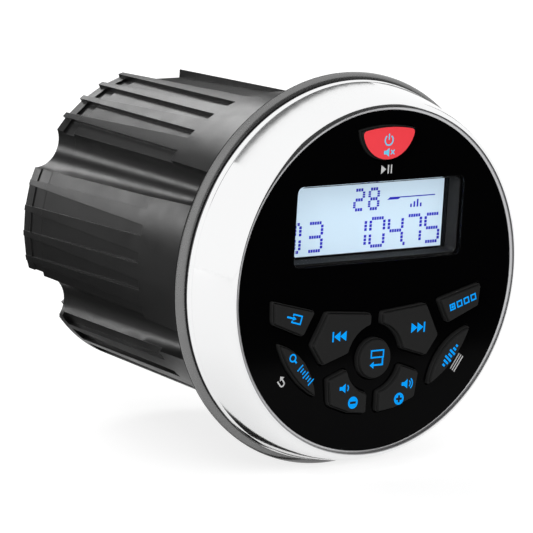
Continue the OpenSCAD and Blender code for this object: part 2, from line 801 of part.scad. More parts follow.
module rear_housing() {
    color([0.12, 0.12, 0.12])
        difference() {
            union() {
                difference() {
                    union() {
                        disc(foot_r, y_flange, y_flange_back);
                        difference() {
                            plain_body(y_flange_back - over, housing_l);
                            flute_cuts();
                            pocket_cuts(side_lobes, [], collar_l, body_l, side_pocket_drops, keyway_drops);
                            pocket_cuts([], keyed_lobes, collar_l, body_l, pocket_drops, keyway_drops);
                        }
                    }
                    disc(bore_r, y_flange - over, housing_l + over);
                }
                housing_inside();
            }
            seal_groove(face_seal_circle, y_flange - over, y_flange + seal_d);
            seal_groove(rear_seal_circle, housing_l - seal_d, housing_l + over);
            for (a = flute_angles)
                rod(polar(flange_screw_circle, a), screw_r + hole_gap,
                    y_flange - over, y_flange_back + over);
            for (a = cover_screw_angles)
                rod(polar(cover_screw_circle, a), screw_r + thread_gap,
                    housing_l - cover_boss_l + over, housing_l + over);
            for (s = [-1, 1])
                for (y = board_screw_ys)
                    translate([s * board_screw_x, y, board_under - board_screw_l])
                        cylinder(h = board_screw_l + over, r = small_r + thread_gap);
        }
}

module flange_screws() {
    color("silver")
        for (a = flute_angles)
            axial_screw(polar(flange_screw_circle, a), y_flange_back, flange_t + flange_pilot_l - over, -1,
                screw_r, head_r, screw_head_h);
}

module rear_seal() {
    color([0.05, 0.05, 0.05]) ring_seal(rear_seal_circle, housing_l - seal_r);
}

// Notches beside the bottom lobe and the step at its end
module lower_cuts() {
    for (a = [180 + flute_angle, 360 - flute_angle])
        along_y() rotate([0, 0, a]) translate([notch_floor, -notch_w / 2, housing_l + notch_web])
            cube([cut_h + over, notch_w, cover_l]);
    difference() {
        translate([-spigot_r, y_step, -spigot_r])
            cube([2 * spigot_r, lower_step + over, spigot_r - lower_top]);
        disc(lower_hub_r, y_step - over, body_l + 2 * over);
    }
}

module rear_cover() {
    color([0.12, 0.12, 0.12])
        difference() {
            plain_body(housing_l, body_l);
            flute_cuts();
            pocket_cuts(side_lobes, [], housing_l - over, y_rim, side_recess_drops, keyway_ends);
            pocket_cuts([], top_lobes, housing_l - over, y_rim, top_recess_drops, keyway_ends);
            pocket_cuts(side_lobes, [], y_rim - over, body_l + over, side_rim_drops, keyway_ends);
            pocket_cuts([], top_lobes, y_rim - over, body_l + over, top_rim_drops, keyway_ends);
            lower_cuts();
            disc(cover_bore_r, housing_l - over, y_plate);
            for (a = cover_screw_angles) {
                rod(polar(cover_screw_circle, a), screw_r + hole_gap, housing_l - over, body_l + over);
                rod(polar(cover_screw_circle, a), head_r + hole_gap, body_l - screw_head_h, body_l + over);
            }
            for (s = [-1, 1])
                rod([s * stud_x, 0], stud_shoulder_r + thread_gap, y_plate - over, body_l + over);
            rod([0, socket_offset], antenna_out_r + thread_gap, y_plate - over, body_l + over);
            rod([0, -socket_offset], harness_out_r + thread_gap, y_plate - over, body_l + over);
        }
}

module rear_cover_screws() {
    color("silver")
        for (a = cover_screw_angles)
            axial_screw(polar(cover_screw_circle, a), body_l - screw_head_h,
                cover_l - screw_head_h + cover_boss_l - 2 * over, -1, screw_r, head_r, screw_head_h);
}

module main_board() {
    color("darkgreen")
        difference() {
            translate([-board_w / 2, board_y, board_under]) cube([board_w, board_l, board_t]);
            for (s = [-1, 1])
                for (y = board_screw_ys)
                    translate([s * board_screw_x, y, board_under - over])
                        cylinder(h = board_t + 2 * over, r = small_r + hole_gap);
        }
}

module main_board_screws() {
    color("silver")
        for (s = [-1, 1])
            for (y = board_screw_ys)
                translate([s * board_screw_x, y, board_z]) {
                    cylinder(h = small_head_h, r = small_head_r);
                    translate([0, 0, -board_t - board_screw_l + thread_gap])
                        cylinder(h = board_t + board_screw_l, r = small_r);
                }
}

module board_link() {
    color([0.1, 0.1, 0.1])
        translate([link_x - link_w / 2, y_foot, board_z]) cube([link_w, board_y + link_l - y_foot, link_h]);
}

module amplifier_chip() {
    pitch = chip_w / chip_pins;
    pin_y = sink_y - chip_t / 2 - pin_w / 2;
    color([0.15, 0.15, 0.15]) {
        translate([-chip_w / 2, sink_y - chip_t, board_z + chip_lift]) cube([chip_w, chip_t, chip_h]);
        for (i = [0:chip_pins - 1])
            translate([(i + 0.5) * pitch - chip_w / 2 - pin_w / 2, pin_y, board_z])
                cube([pin_w, pin_w, chip_lift + over]);
    }
}

module heat_sink() {
    step = (sink_w - fin_t) / (fins - 1);
    color("silver") {
        translate([-sink_w / 2, sink_y, board_z]) cube([sink_w, sink_base_t, sink_h]);
        for (i = [0:fins - 1])
            translate([-sink_w / 2 + i * step, sink_y, board_z]) cube([fin_t, sink_base_t + fin_l, sink_h]);
    }
}

module capacitors() {
    color([0.1, 0.1, 0.2])
        for (y = capacitor_ys)
            translate([-column_x, board_y + y, board_z]) cylinder(h = capacitor_h, r = capacitor_r);
}

module power_choke() {
    color("orange")
        translate([choke_at[0], board_y + choke_at[1], board_z]) {
            cylinder(h = choke_base_t, r = choke_r + choke_wire_r);
            translate([0, 0, choke_base_t + choke_wire_r - choke_sink])
                rotate_extrude() translate([choke_r, 0]) circle(r = choke_wire_r);
        }
}

module tuner_module() {
    color("silver")
        translate([tuner_at[0] - tuner_size[0] / 2, board_y + tuner_at[1] - tuner_size[1] / 2, board_z])
            cube(tuner_size);
}

module wireless_module() {
    color("seagreen")
        translate([wireless_at[0], board_y + wireless_at[1], board_z]) {
            translate([-wireless_size[0] / 2, -wireless_size[1] / 2, 0]) cube(wireless_size);
            translate([-wireless_can[0] / 2, -wireless_can[1] / 2, 0])
                cube([wireless_can[0], wireless_can[1], wireless_size[2] + wireless_can[2]]);
        }
}

// Round socket through the rear plate, with its bore open at the rear
module rear_socket(p, hollow_r, hollow_l) {
    difference() {
        union() {
            rod(p, hollow_r + socket_wall, y_plate - socket_tail, y_socket_end);
            rod(p, hollow_r + socket_wall + socket_flange_w, body_l, body_l + socket_flange_t);
        }
        rod(p, hollow_r, y_socket_end - hollow_l, y_socket_end + over);
    }
}

module harness_socket() {
    color([0.08, 0.08, 0.08]) rear_socket([0, -socket_offset], harness_bore_r, harness_bore_l);
}

module antenna_socket() {
    color("silver") rear_socket([0, socket_offset], antenna_bore_r, antenna_bore_l);
}

module clamp_studs() {
    color("silver")
        for (s = [-1, 1]) {
            rod([s * stud_x, 0], stud_r, y_plate - stud_head_h, body_l + stud_l);
            rod([s * stud_x, 0], stud_shoulder_r, y_plate - stud_head_h, body_l);
            rod([s * stud_x, 0], stud_head_r, y_plate - stud_head_h, y_plate);
        }
}

trim_bezel();
face_panel();
display_lens();
lcd_frame();
lcd_panel();
lcd_backlight();
key_power();
key_source();
key_preset();
key_previous();
key_next();
key_band();
key_audio();
key_enter();
key_volume_down();
key_volume_up();
keypad_mat();
key_board();
key_switches();
key_board_screws();
front_carrier();
face_seal();
panel_gasket();
rear_housing();
flange_screws();
rear_seal();
rear_cover();
rear_cover_screws();
main_board();
main_board_screws();
board_link();
amplifier_chip();
heat_sink();
capacitors();
power_choke();
tuner_module();
wireless_module();
harness_socket();
antenna_socket();
clamp_studs();
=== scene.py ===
"""Looks of a round gauge-style marine stereo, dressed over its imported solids.

Sizes in the classes are millimetres in the part's own frame: the face looks along -Y, the body
runs along +Y and +Z is up. The constant MM turns them into metres.
"""

from __future__ import annotations

import json
import logging
import math
from collections.abc import Callable, Iterable, Sequence
from dataclasses import dataclass, field
from enum import Enum

import bmesh
import bpy
from bmesh.types import BMEdge, BMesh, BMFace, BMVert
from bpy.types import Material, Node, NodeSocket, NodeTree, Object
from mathutils import Matrix, Vector

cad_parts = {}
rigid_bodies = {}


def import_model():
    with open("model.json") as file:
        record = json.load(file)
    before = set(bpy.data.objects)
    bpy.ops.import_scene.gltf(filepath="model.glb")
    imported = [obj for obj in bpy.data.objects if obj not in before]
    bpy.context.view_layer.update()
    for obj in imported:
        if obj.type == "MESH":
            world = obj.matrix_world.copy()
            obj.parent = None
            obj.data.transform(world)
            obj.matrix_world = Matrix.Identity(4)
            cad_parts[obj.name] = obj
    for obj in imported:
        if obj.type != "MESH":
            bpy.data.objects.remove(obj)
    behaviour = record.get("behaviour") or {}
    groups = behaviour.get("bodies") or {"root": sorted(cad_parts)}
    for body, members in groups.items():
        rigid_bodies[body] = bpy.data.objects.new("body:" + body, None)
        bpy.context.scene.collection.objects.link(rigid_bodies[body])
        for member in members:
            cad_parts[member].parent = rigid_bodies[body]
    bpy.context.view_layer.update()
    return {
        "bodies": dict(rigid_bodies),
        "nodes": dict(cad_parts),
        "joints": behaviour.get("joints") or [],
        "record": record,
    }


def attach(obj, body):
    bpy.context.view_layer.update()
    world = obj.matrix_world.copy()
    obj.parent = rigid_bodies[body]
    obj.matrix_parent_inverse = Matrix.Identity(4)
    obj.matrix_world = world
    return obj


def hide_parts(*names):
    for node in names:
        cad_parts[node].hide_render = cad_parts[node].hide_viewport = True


LOG = logging.getLogger("marine_stereo")
MM = 0.001
UNIT = "unit"
# Stations of the face, and of the inner and the outer side of the rear cover's plate.
FACE_Y = -18.5
PLATE_Y = 84.9
COVER_Y = 87.9
# Steps of a full turn of the large rings, and across the rounding of a turned corner.
RING_STEPS = 240
CORNER_STEPS = 4
# Points of a turned shape that are closer than this, in millimetres, are one point.
SAME_POINT = 0.0005
BLACK = (0.0, 0.0, 0.0, 1.0)
WHITE = (1.0, 1.0, 1.0, 1.0)
# A colour, a place in space, two sizes or a point of a drawing, and a point with a turn in degrees.
Rgb = tuple[float, float, float]
Place = tuple[float, float, float]
Plan = tuple[float, float]
Spot = tuple[Plan, float]


def srgb(red: int, green: int, blue: int) -> Rgb:
    """Turn a screen colour into scene-linear values.

    Args:
        red: Red from 0 to 255.
        green: Green from 0 to 255.
        blue: Blue from 0 to 255.

    Returns:
        The three linear values.
    """

    def linear(value: int) -> float:
        """Undo the screen curve of one value."""
        share = value / 255
        return share / 12.92 if share <= 0.04045 else ((share + 0.055) / 1.055) ** 2.4

    return linear(red), linear(green), linear(blue)


class Side(Enum):
    """Which half of the face a piece is on."""

    LEFT = -1
    RIGHT = 1


class GroupKit:
    """Shader groups that several finishes share, each built once."""

    NOISE_MEAN = 0.5
    PATCH_SCALE = 0.09
    PATCH_SHARE = 0.5
    SPECK_FADE = 0.08
    TRACK_WIDTH = 0.06

    def __init__(self) -> None:
        """Start with no groups and no materials."""
        self._made: dict[str, NodeTree] = {}
        self.materials: dict[str, Material] = {}

    def _start(
        self, name: str, inputs: dict[str, float], outputs: Sequence[str]
    ) -> tuple[NodeTree, Node, Node]:
        """Make an empty group with its sockets.

        Args:
            name: Name of the group.
            inputs: Name and first value of each number that goes in, beside Vector.
            outputs: Name of each number that comes out.

        Returns:
            The group, its input node and its output node.
        """
        tree = bpy.data.node_groups.new(name, "ShaderNodeTree")
        tree.interface.new_socket("Vector", in_out="INPUT", socket_type="NodeSocketVector")
        for key, value in inputs.items():
            socket = tree.interface.new_socket(key, in_out="INPUT", socket_type="NodeSocketFloat")
            socket.default_value = value
        for key in outputs:
            tree.interface.new_socket(key, in_out="OUTPUT", socket_type="NodeSocketFloat")
        self._made[name] = tree
        return tree, tree.nodes.new("NodeGroupInput"), tree.nodes.new("NodeGroupOutput")

    @staticmethod
    def _noise(tree: NodeTree, vector: NodeSocket, scale: NodeSocket, detail: float) -> NodeSocket:
        """Add a noise texture.

        Args:
            tree: The group.
            vector: The place on the piece.
            scale: How fine it is.
            detail: How many finer layers it has.

        Returns:
            Its factor.
        """
        node = tree.nodes.new("ShaderNodeTexNoise")
        node.inputs["Detail"].default_value = detail
        tree.links.new(vector, node.inputs["Vector"])
        tree.links.new(scale, node.inputs["Scale"])
        return node.outputs["Fac"]

    @staticmethod
    def _math(tree: NodeTree, operation: str, *values: NodeSocket | float) -> NodeSocket:
        """Add a math node.

        Args:
            tree: The group.
            operation: What it works out.
            values: The sockets or numbers that it works on.

        Returns:
            Its result.
        """
        node = tree.nodes.new("ShaderNodeMath")
        node.operation = operation
        for slot, value in zip(node.inputs, values):
            if isinstance(value, (int, float)):
                slot.default_value = value
            else:
                tree.links.new(value, slot)
        return node.outputs[0]

    def moulded(self) -> NodeTree:
        """Grain of a moulded, cast or plated surface.

        Returns:
            A group with the outputs Tint, Roughness and Height.
        """
        if "moulded_grain" in self._made:
            return self._made["moulded_grain"]
        values = {"Cell": 4000.0, "Cloud": 90.0, "Rough": 0.5, "Spread": 0.1}
        tree, start, end = self._start("moulded_grain", values, ("Tint", "Roughness", "Height"))
        vector = start.outputs["Vector"]
        fine = self._noise(tree, vector, start.outputs["Cell"], detail=2.0)
        cloud = self._noise(tree, vector, start.outputs["Cloud"], detail=3.0)
        cloud_sway = self._math(tree, "SUBTRACT", cloud, self.NOISE_MEAN)
        fine_sway = self._math(tree, "SUBTRACT", fine, self.NOISE_MEAN)
        sway = self._math(tree, "ADD", cloud_sway, fine_sway)
        change = self._math(tree, "MULTIPLY", sway, start.outputs["Spread"])
        rough = self._math(tree, "ADD", start.outputs["Rough"], change)
        tree.links.new(cloud, end.inputs["Tint"])
        tree.links.new(rough, end.inputs["Roughness"])
        tree.links.new(fine, end.inputs["Height"])
        return tree

    def speckle(self) -> NodeTree:
        """Scattered small specks, as in a grained paint or a filled plastic.

        Returns:
            A group with the output Mask.
        """
        if "speckle" in self._made:
            return self._made["speckle"]
        tree, start, end = self._start("speckle", {"Cell": 900.0, "Share": 0.7}, ("Mask",))
        vector = start.outputs["Vector"]
        cell = start.outputs["Cell"]
        share = start.outputs["Share"]
        fine = self._noise(tree, vector, cell, detail=1.0)
        coarse = self._math(tree, "MULTIPLY", cell, self.PATCH_SCALE)
        patch = self._noise(tree, vector, coarse, detail=1.0)
        sway = self._math(tree, "SUBTRACT", patch, self.NOISE_MEAN)
        both = self._math(tree, "ADD", fine, self._math(tree, "MULTIPLY", sway, self.PATCH_SHARE))
        ramp = tree.nodes.new("ShaderNodeMapRange")
        tree.links.new(both, ramp.inputs["Value"])
        tree.links.new(share, ramp.inputs["From Min"])
        tree.links.new(self._math(tree, "ADD", share, self.SPECK_FADE), ramp.inputs["From Max"])
        tree.links.new(ramp.outputs["Result"], end.inputs["Mask"])
        return tree

    def tracks(self) -> NodeTree:
        """Copper tracks of a circuit board under its lacquer.

        Returns:
            A group with the output Mask.
        """
        if "board_tracks" in self._made:
            return self._made["board_tracks"]
        tree, start, end = self._start("board_tracks", {"Pitch": 420.0}, ("Mask",))
        brick = tree.nodes.new("ShaderNodeTexBrick")
        brick.inputs["Mortar Size"].default_value = self.TRACK_WIDTH
        brick.inputs["Color1"].default_value = BLACK
        brick.inputs["Color2"].default_value = BLACK
        brick.inputs["Mortar"].default_value = WHITE
        tree.links.new(start.outputs["Vector"], brick.inputs["Vector"])
        tree.links.new(start.outputs["Pitch"], brick.inputs["Scale"])
        tree.links.new(brick.outputs["Color"], end.inputs["Mask"])
        return tree


def place_group(tree: NodeTree, group: NodeTree, place: NodeSocket, values: dict[str, float]) -> Node:
    """Put a shared group in a material.

    Args:
        tree: The material's nodes.
        group: The group.
        place: The place on the piece, which feeds it.
        values: Its values by the names of its inputs.

    Returns:
        The new node.
    """
    node = tree.nodes.new("ShaderNodeGroup")
    node.node_tree = group
    tree.links.new(place, node.inputs["Vector"])
    for key, value in values.items():
        node.inputs[key].default_value = value
    return node


@dataclass(frozen=True)
class Finish:
    """A solid surface with a fine grain, a slow change of tint and an uneven gloss.

    The height of the grain and the width of a rounded edge are millimetres.
    """

    name: str
    colour: Rgb
    tint: Rgb
    rough: float
    spread: float = 0.08
    cell: float = 4000.0
    cloud: float = 90.0
    grain: float = 0.08
    metallic: float = 0.0
    specular: float = 0.5
    glow: float = 0.0
    specks: Rgb | None = None
    speck_cell: float = 900.0
    speck_share: float = 0.7
    tracks: Rgb | None = None
    edge: float = 0.0
    edge_samples: int = 6
    grain_height: float = 0.05

    def material(self, kit: GroupKit) -> Material:
        """Build the material, or give it back if it is there already.

        Args:
            kit: The shared shader groups.

        Returns:
            The material.
        """
        if self.name in kit.materials:
            return kit.materials[self.name]
        made = bpy.data.materials.new(self.name)
        kit.materials[self.name] = made
        made.use_nodes = True
        tree = made.node_tree
        shader = tree.nodes["Principled BSDF"]
        shader.inputs["Metallic"].default_value = self.metallic
        shader.inputs["Specular IOR Level"].default_value = self.specular
        place = tree.nodes.new("ShaderNodeTexCoord").outputs["Object"]
        values = {"Cell": self.cell, "Cloud": self.cloud, "Rough": self.rough, "Spread": self.spread}
        grain = place_group(tree, kit.moulded(), place, values)
        colour = self._mix(tree, grain.outputs["Tint"], (*self.colour, 1.0), (*self.tint, 1.0))
        if self.tracks:
            lines = place_group(tree, kit.tracks(), place, {})
            colour = self._mix(tree, lines.outputs["Mask"], colour, (*self.tracks, 1.0))
        if self.specks:
            values = {"Cell": self.speck_cell, "Share": self.speck_share}
            dots = place_group(tree, kit.speckle(), place, values)
            colour = self._mix(tree, dots.outputs["Mask"], colour, (*self.specks, 1.0))
        tree.links.new(colour, shader.inputs["Base Color"])
        tree.links.new(grain.outputs["Roughness"], shader.inputs["Roughness"])
        if self.glow:
            tree.links.new(colour, shader.inputs["Emission Color"])
            shader.inputs["Emission Strength"].default_value = self.glow
        bump = tree.nodes.new("ShaderNodeBump")
        bump.inputs["Strength"].default_value = self.grain
        bump.inputs["Distance"].default_value = self.grain_height * MM
        tree.links.new(grain.outputs["Height"], bump.inputs["Height"])
        if self.edge:
            round_edge = tree.nodes.new("ShaderNodeBevel")
            round_edge.samples = self.edge_samples
            round_edge.inputs["Radius"].default_value = self.edge * MM
            tree.links.new(round_edge.outputs["Normal"], bump.inputs["Normal"])
        tree.links.new(bump.outputs["Normal"], shader.inputs["Normal"])
        return made

    @staticmethod
    def _mix(
        tree: NodeTree, mask: NodeSocket, low: NodeSocket | tuple, high: NodeSocket | tuple
    ) -> NodeSocket:
        """Mix two colours by a mask.

        Args:
            tree: The material's nodes.
            mask: The mask.
            low: The colour where the mask is 0.
            high: The colour where the mask is 1.

        Returns:
            The mixed colour.
        """
        node = tree.nodes.new("ShaderNodeMix")
        node.data_type = "RGBA"
        tree.links.new(mask, node.inputs["Factor"])
        colour_slots = [slot for slot in node.inputs if slot.type == "RGBA"]
        for value, slot in zip((low, high), colour_slots):
            if isinstance(value, tuple):
                slot.default_value = value
            else:
                tree.links.new(value, slot)
        return next(slot for slot in node.outputs if slot.type == "RGBA")


@dataclass(frozen=True)
class ClearFinish:
    """A clear window with a faint uneven gloss."""

    name: str
    colour: Rgb
    index: float
    specular: float
    rough: float = 0.012
    spread: float = 0.01
    cell: float = 600.0
    cloud: float = 60.0

    def material(self, kit: GroupKit) -> Material:
        """Build the clear material.

        Args:
            kit: The shared shader groups.

        Returns:
            The material.
        """
        made = bpy.data.materials.new(self.name)
        made.use_nodes = True
        tree = made.node_tree
        shader = tree.nodes["Principled BSDF"]
        shader.inputs["Base Color"].default_value = (*self.colour, 1.0)
        shader.inputs["Transmission Weight"].default_value = 1.0
        shader.inputs["IOR"].default_value = self.index
        shader.inputs["Specular IOR Level"].default_value = self.specular
        place = tree.nodes.new("ShaderNodeTexCoord").outputs["Object"]
        values = {"Cell": self.cell, "Cloud": self.cloud, "Rough": self.rough, "Spread": self.spread}
        grain = place_group(tree, kit.moulded(), place, values)
        tree.links.new(grain.outputs["Roughness"], shader.inputs["Roughness"])
        return made


class Palette:
    """Every finish of the stereo."""

    chrome = Finish(
        "chrome_plating",
        colour=(0.9, 0.903, 0.906), tint=(0.885, 0.888, 0.891), rough=0.08, spread=0.03, cell=1500,
        cloud=40, grain=0.0, metallic=1.0,
    )
    face = Finish(
        "face_gloss",
        colour=(0.0008, 0.0008, 0.0009), tint=(0.001, 0.001, 0.0012), rough=0.12, spread=0.04,
        cell=2500, cloud=50, grain=0.0, specular=0.03,
    )
    lip = Finish(
        "chrome_satin",
        colour=(0.6, 0.6, 0.61), tint=(0.56, 0.56, 0.57), rough=0.3, spread=0.05, cell=1500, cloud=40,
        grain=0.0, metallic=1.0,
    )
    keys = Finish(
        "key_matt",
        colour=srgb(32, 32, 32), tint=srgb(35, 35, 35), rough=0.55, spread=0.1, cell=5200, cloud=200,
        grain=0.16, specular=0.1,
    )
    red_key = Finish(
        "key_red",
        colour=srgb(252, 62, 72), tint=srgb(255, 70, 80), rough=0.5, spread=0.08, cell=5200, cloud=120,
        grain=0.06, specular=0.2,
    )
    body = Finish(
        "body_grained",
        colour=srgb(9, 9, 9), tint=srgb(15, 15, 15), rough=0.34, spread=0.16, cell=3600, cloud=150,
        grain=0.25, specular=0.3, specks=srgb(4, 4, 4), speck_cell=1250, speck_share=0.66, edge=0.16,
    )
    gasket = Finish(
        "gasket_satin",
        colour=(0.19, 0.19, 0.19), tint=(0.21, 0.21, 0.21), rough=0.27, spread=0.04, cell=2200,
        cloud=160, grain=0.02, metallic=0.85,
    )
    frame = Finish(
        "frame_matt",
        colour=srgb(30, 30, 30), tint=srgb(34, 34, 34), rough=0.75, spread=0.1, cell=4200, cloud=120,
        grain=0.1, specular=0.1,
    )
    display = Finish(
        "display_glow",
        colour=(0.215, 0.275, 0.325), tint=(0.235, 0.29, 0.335), rough=0.4, spread=0.02, cell=900,
        cloud=28, grain=0.0, specular=0.1, glow=1.7,
    )
    segment = Finish(
        "display_segment",
        colour=srgb(24, 24, 172), tint=srgb(30, 30, 178), rough=0.5, spread=0.02, cell=900, cloud=60,
        grain=0.0, specular=0.1, glow=0.12,
    )
    border = Finish(
        "display_border",
        colour=srgb(4, 4, 5), tint=srgb(6, 6, 7), rough=0.6, spread=0.05, cell=2000, cloud=60,
        grain=0.02, specular=0.05,
    )
    guide = Finish(
        "guide_white",
        colour=srgb(235, 240, 245), tint=srgb(225, 232, 240), rough=0.45, spread=0.05, cell=1500,
        cloud=60, grain=0.05,
    )
    # The blue and the pale blue prints glow a little: a painted glow that keeps them bright whatever light
    # falls on them.
    blue_print = Finish(
        "blue_print",
        colour=srgb(0, 158, 255), tint=srgb(0, 164, 255), rough=0.6, spread=0.06, cell=4200, cloud=300,
        grain=0.03, specular=0.05, glow=0.15,
    )
    pale_print = Finish(
        "pale_blue_print",
        colour=srgb(112, 204, 238), tint=srgb(106, 198, 234), rough=0.55, spread=0.06, cell=4200,
        cloud=300, grain=0.03, specular=0.1, glow=0.1,
    )
    silver_print = Finish(
        "silver_print",
        colour=srgb(202, 202, 202), tint=srgb(212, 212, 212), rough=0.45, spread=0.06, cell=4200,
        cloud=300, grain=0.03, specular=0.3,
    )
    rubber = Finish(
        "seal_rubber",
        colour=srgb(26, 26, 26), tint=srgb(32, 32, 32), rough=0.75, spread=0.1, cell=4200, cloud=160,
        grain=0.2, specular=0.25,
    )
    moulding = Finish(
        "moulding_black",
        colour=srgb(28, 28, 29), tint=srgb(34, 34, 35), rough=0.5, spread=0.1, cell=3600, cloud=120,
        grain=0.14, specular=0.4,
    )
    board = Finish(
        "board_lacquer",
        colour=srgb(22, 92, 44), tint=srgb(28, 104, 52), rough=0.35, spread=0.08, cell=2600, cloud=80,
        grain=0.04, tracks=srgb(56, 138, 78),
    )
    steel = Finish(
        "steel_plating",
        colour=(0.62, 0.62, 0.63), tint=(0.54, 0.54, 0.55), rough=0.26, spread=0.1, cell=2600,
        cloud=400, grain=0.06, metallic=1.0,
    )
    alloy = Finish(
        "alloy_bare",
        colour=(0.74, 0.75, 0.76), tint=(0.66, 0.67, 0.68), rough=0.34, spread=0.12, cell=3000,
        cloud=300, grain=0.1, metallic=1.0,
    )
    can = Finish(
        "capacitor_sleeve",
        colour=srgb(34, 36, 74), tint=srgb(40, 42, 84), rough=0.4, spread=0.06, cell=2400, cloud=90,
        grain=0.03,
    )
    wire = Finish(
        "enamelled_wire",
        colour=srgb(168, 92, 44), tint=srgb(188, 108, 56), rough=0.3, spread=0.1, cell=1600, cloud=500,
        grain=0.2, metallic=0.85,
    )
    contact = Finish(
        "gold_contact",
        colour=(0.85, 0.62, 0.24), tint=(0.76, 0.54, 0.2), rough=0.25, spread=0.08, cell=2600,
        cloud=300, grain=0.03, metallic=1.0,
    )
    lens = ClearFinish("lens_clear", colour=(0.99, 0.995, 1.0), index=1.06, specular=0.1)


def to_object(name: str, mesh: BMesh) -> Object:
    """Turn a mesh into an object of the scene.

    Args:
        name: Name of the object and of its data.
        mesh: The mesh, which is freed.

    Returns:
        The object.
    """
    data = bpy.data.meshes.new(name)
    mesh.to_mesh(data)
    mesh.free()
    made = bpy.data.objects.new(name, data)
    bpy.context.scene.collection.objects.link(made)
    return made


class Workshop:
    """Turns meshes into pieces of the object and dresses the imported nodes.

    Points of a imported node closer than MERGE, in millimetres, are one point, and faces that bend less
    than LEVEL, in degrees, are one face.
    """

    MERGE = 0.002
    LEVEL = 0.4

    def __init__(self, nodes: dict[str, Object]) -> None:
        """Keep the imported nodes.

        Args:
            nodes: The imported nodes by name.
        """
        self.nodes = nodes
        self.kit = GroupKit()

    def add(
        self,
        name: str,
        mesh: BMesh,
        finish: Finish | ClearFinish,
        slot: str,
        body: str = UNIT,
        replaces: Sequence[str] = (),
        smooth: float = 32.0,
        even: bool = False,
    ) -> Object:
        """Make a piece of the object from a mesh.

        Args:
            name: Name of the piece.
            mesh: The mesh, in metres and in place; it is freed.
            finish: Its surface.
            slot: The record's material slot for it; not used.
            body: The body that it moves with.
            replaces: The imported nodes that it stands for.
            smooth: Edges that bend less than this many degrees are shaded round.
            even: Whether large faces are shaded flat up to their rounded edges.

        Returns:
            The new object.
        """
        piece = to_object(name, mesh)
        data = piece.data
        data.shade_smooth()
        data.set_sharp_from_angle(angle=math.radians(smooth))
        data.materials.append(finish.material(self.kit))
        if even:
            piece.modifiers.new("even_normals", "WEIGHTED_NORMAL").keep_sharp = True
        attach(piece, body)
        if replaces:
            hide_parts(*replaces)
        LOG.info("%s: %d faces on %s", name, len(data.polygons), body)
        return piece

    def dress(self, finish: Finish, *nodes: str) -> None:
        """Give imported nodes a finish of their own.

        Args:
            finish: The surface.
            nodes: Names of the nodes.
        """
        for name in nodes:
            data = self.nodes[name].data
            data.materials.clear()
            data.materials.append(finish.material(self.kit))
            LOG.info("%s: dressed as %s", name, finish.name)

    def copy(self, node: str) -> BMesh:
        """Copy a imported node's mesh with its loose triangles merged into whole faces.

        Args:
            node: Name of the node.

        Returns:
            A new mesh, in metres and in place.
        """
        mesh = bmesh.new()
        mesh.from_mesh(self.nodes[node].data)
        bmesh.ops.remove_doubles(mesh, verts=mesh.verts, dist=self.MERGE * MM)
        limit = math.radians(self.LEVEL)
        bmesh.ops.dissolve_limit(mesh, angle_limit=limit, verts=mesh.verts, edges=mesh.edges)
        return mesh


def soften(mesh: BMesh, edges: Iterable[BMEdge], size: float, segments: int = 2) -> None:
    """Round edges of a mesh.

    Args:
        mesh: The mesh.
        edges: The edges to round.
        size: Width of the rounding in millimetres.
        segments: Steps across the rounding.
    """
    bmesh.ops.bevel(
        mesh, geom=list(edges), offset=size * MM, offset_type="OFFSET", segments=segments, profile=0.5,
        affect="EDGES", clamp_overlap=True, material=-1,
    )


def sharp_edges(mesh: BMesh, least: float, test: Callable[[Vector], bool] | None = None) -> list[BMEdge]:
    """Find the edges that bend more than an angle.

    Args:
        mesh: The mesh.
        least: Smallest angle in degrees.
        test: A test that the middle of an edge has to pass.

    Returns:
        The edges.
    """
    limit = math.radians(least)
    found = [e for e in mesh.edges if len(e.link_faces) == 2 and e.calc_face_angle(0.0) > limit]
    if test is None:
        return found
    return [e for e in found if test((e.verts[0].co + e.verts[1].co) / 2)]


def lathe(profile: Sequence[Plan], rounds: dict[int, float], steps: int, centre: Plan = (0.0, 0.0)) -> BMesh:
    """Turn a closed profile round an axis along Y.

    Args:
        profile: Corners of the profile as radius and station, in millimetres.
        rounds: Rounding in millimetres of the corners that have one, by their index.
        steps: Number of steps of the turn.
        centre: Where the axis crosses the face, as x and z.

    Returns:
        The closed mesh.
    """
    mesh = bmesh.new()
    corners = [mesh.verts.new((r * MM, y * MM, 0.0)) for r, y in profile]
    mesh.faces.new(corners)
    for index, size in rounds.items():
        bmesh.ops.bevel(
            mesh, geom=[corners[index]], offset=size * MM, offset_type="OFFSET", segments=CORNER_STEPS,
            profile=0.5, affect="VERTICES", clamp_overlap=True, material=-1,
        )
    bmesh.ops.delete(mesh, geom=mesh.faces[:], context="FACES_ONLY")
    bmesh.ops.spin(
        mesh, geom=mesh.verts[:] + mesh.edges[:], cent=(0, 0, 0), axis=(0, 1, 0), angle=math.tau, steps=steps,
        use_merge=True,
    )
    bmesh.ops.remove_doubles(mesh, verts=mesh.verts, dist=SAME_POINT * MM)
    bmesh.ops.recalc_face_normals(mesh, faces=mesh.faces)
    bmesh.ops.translate(mesh, verts=mesh.verts, vec=(centre[0] * MM, 0, centre[1] * MM))
    return mesh


def join(target: BMesh, extra: BMesh) -> None:
    """Add one mesh to another and free it.

    Args:
        target: The mesh that grows.
        extra: The mesh that is added.
    """
    data = bpy.data.meshes.new("joined")
    extra.to_mesh(data)
    extra.free()
    target.from_mesh(data)
    bpy.data.meshes.remove(data)


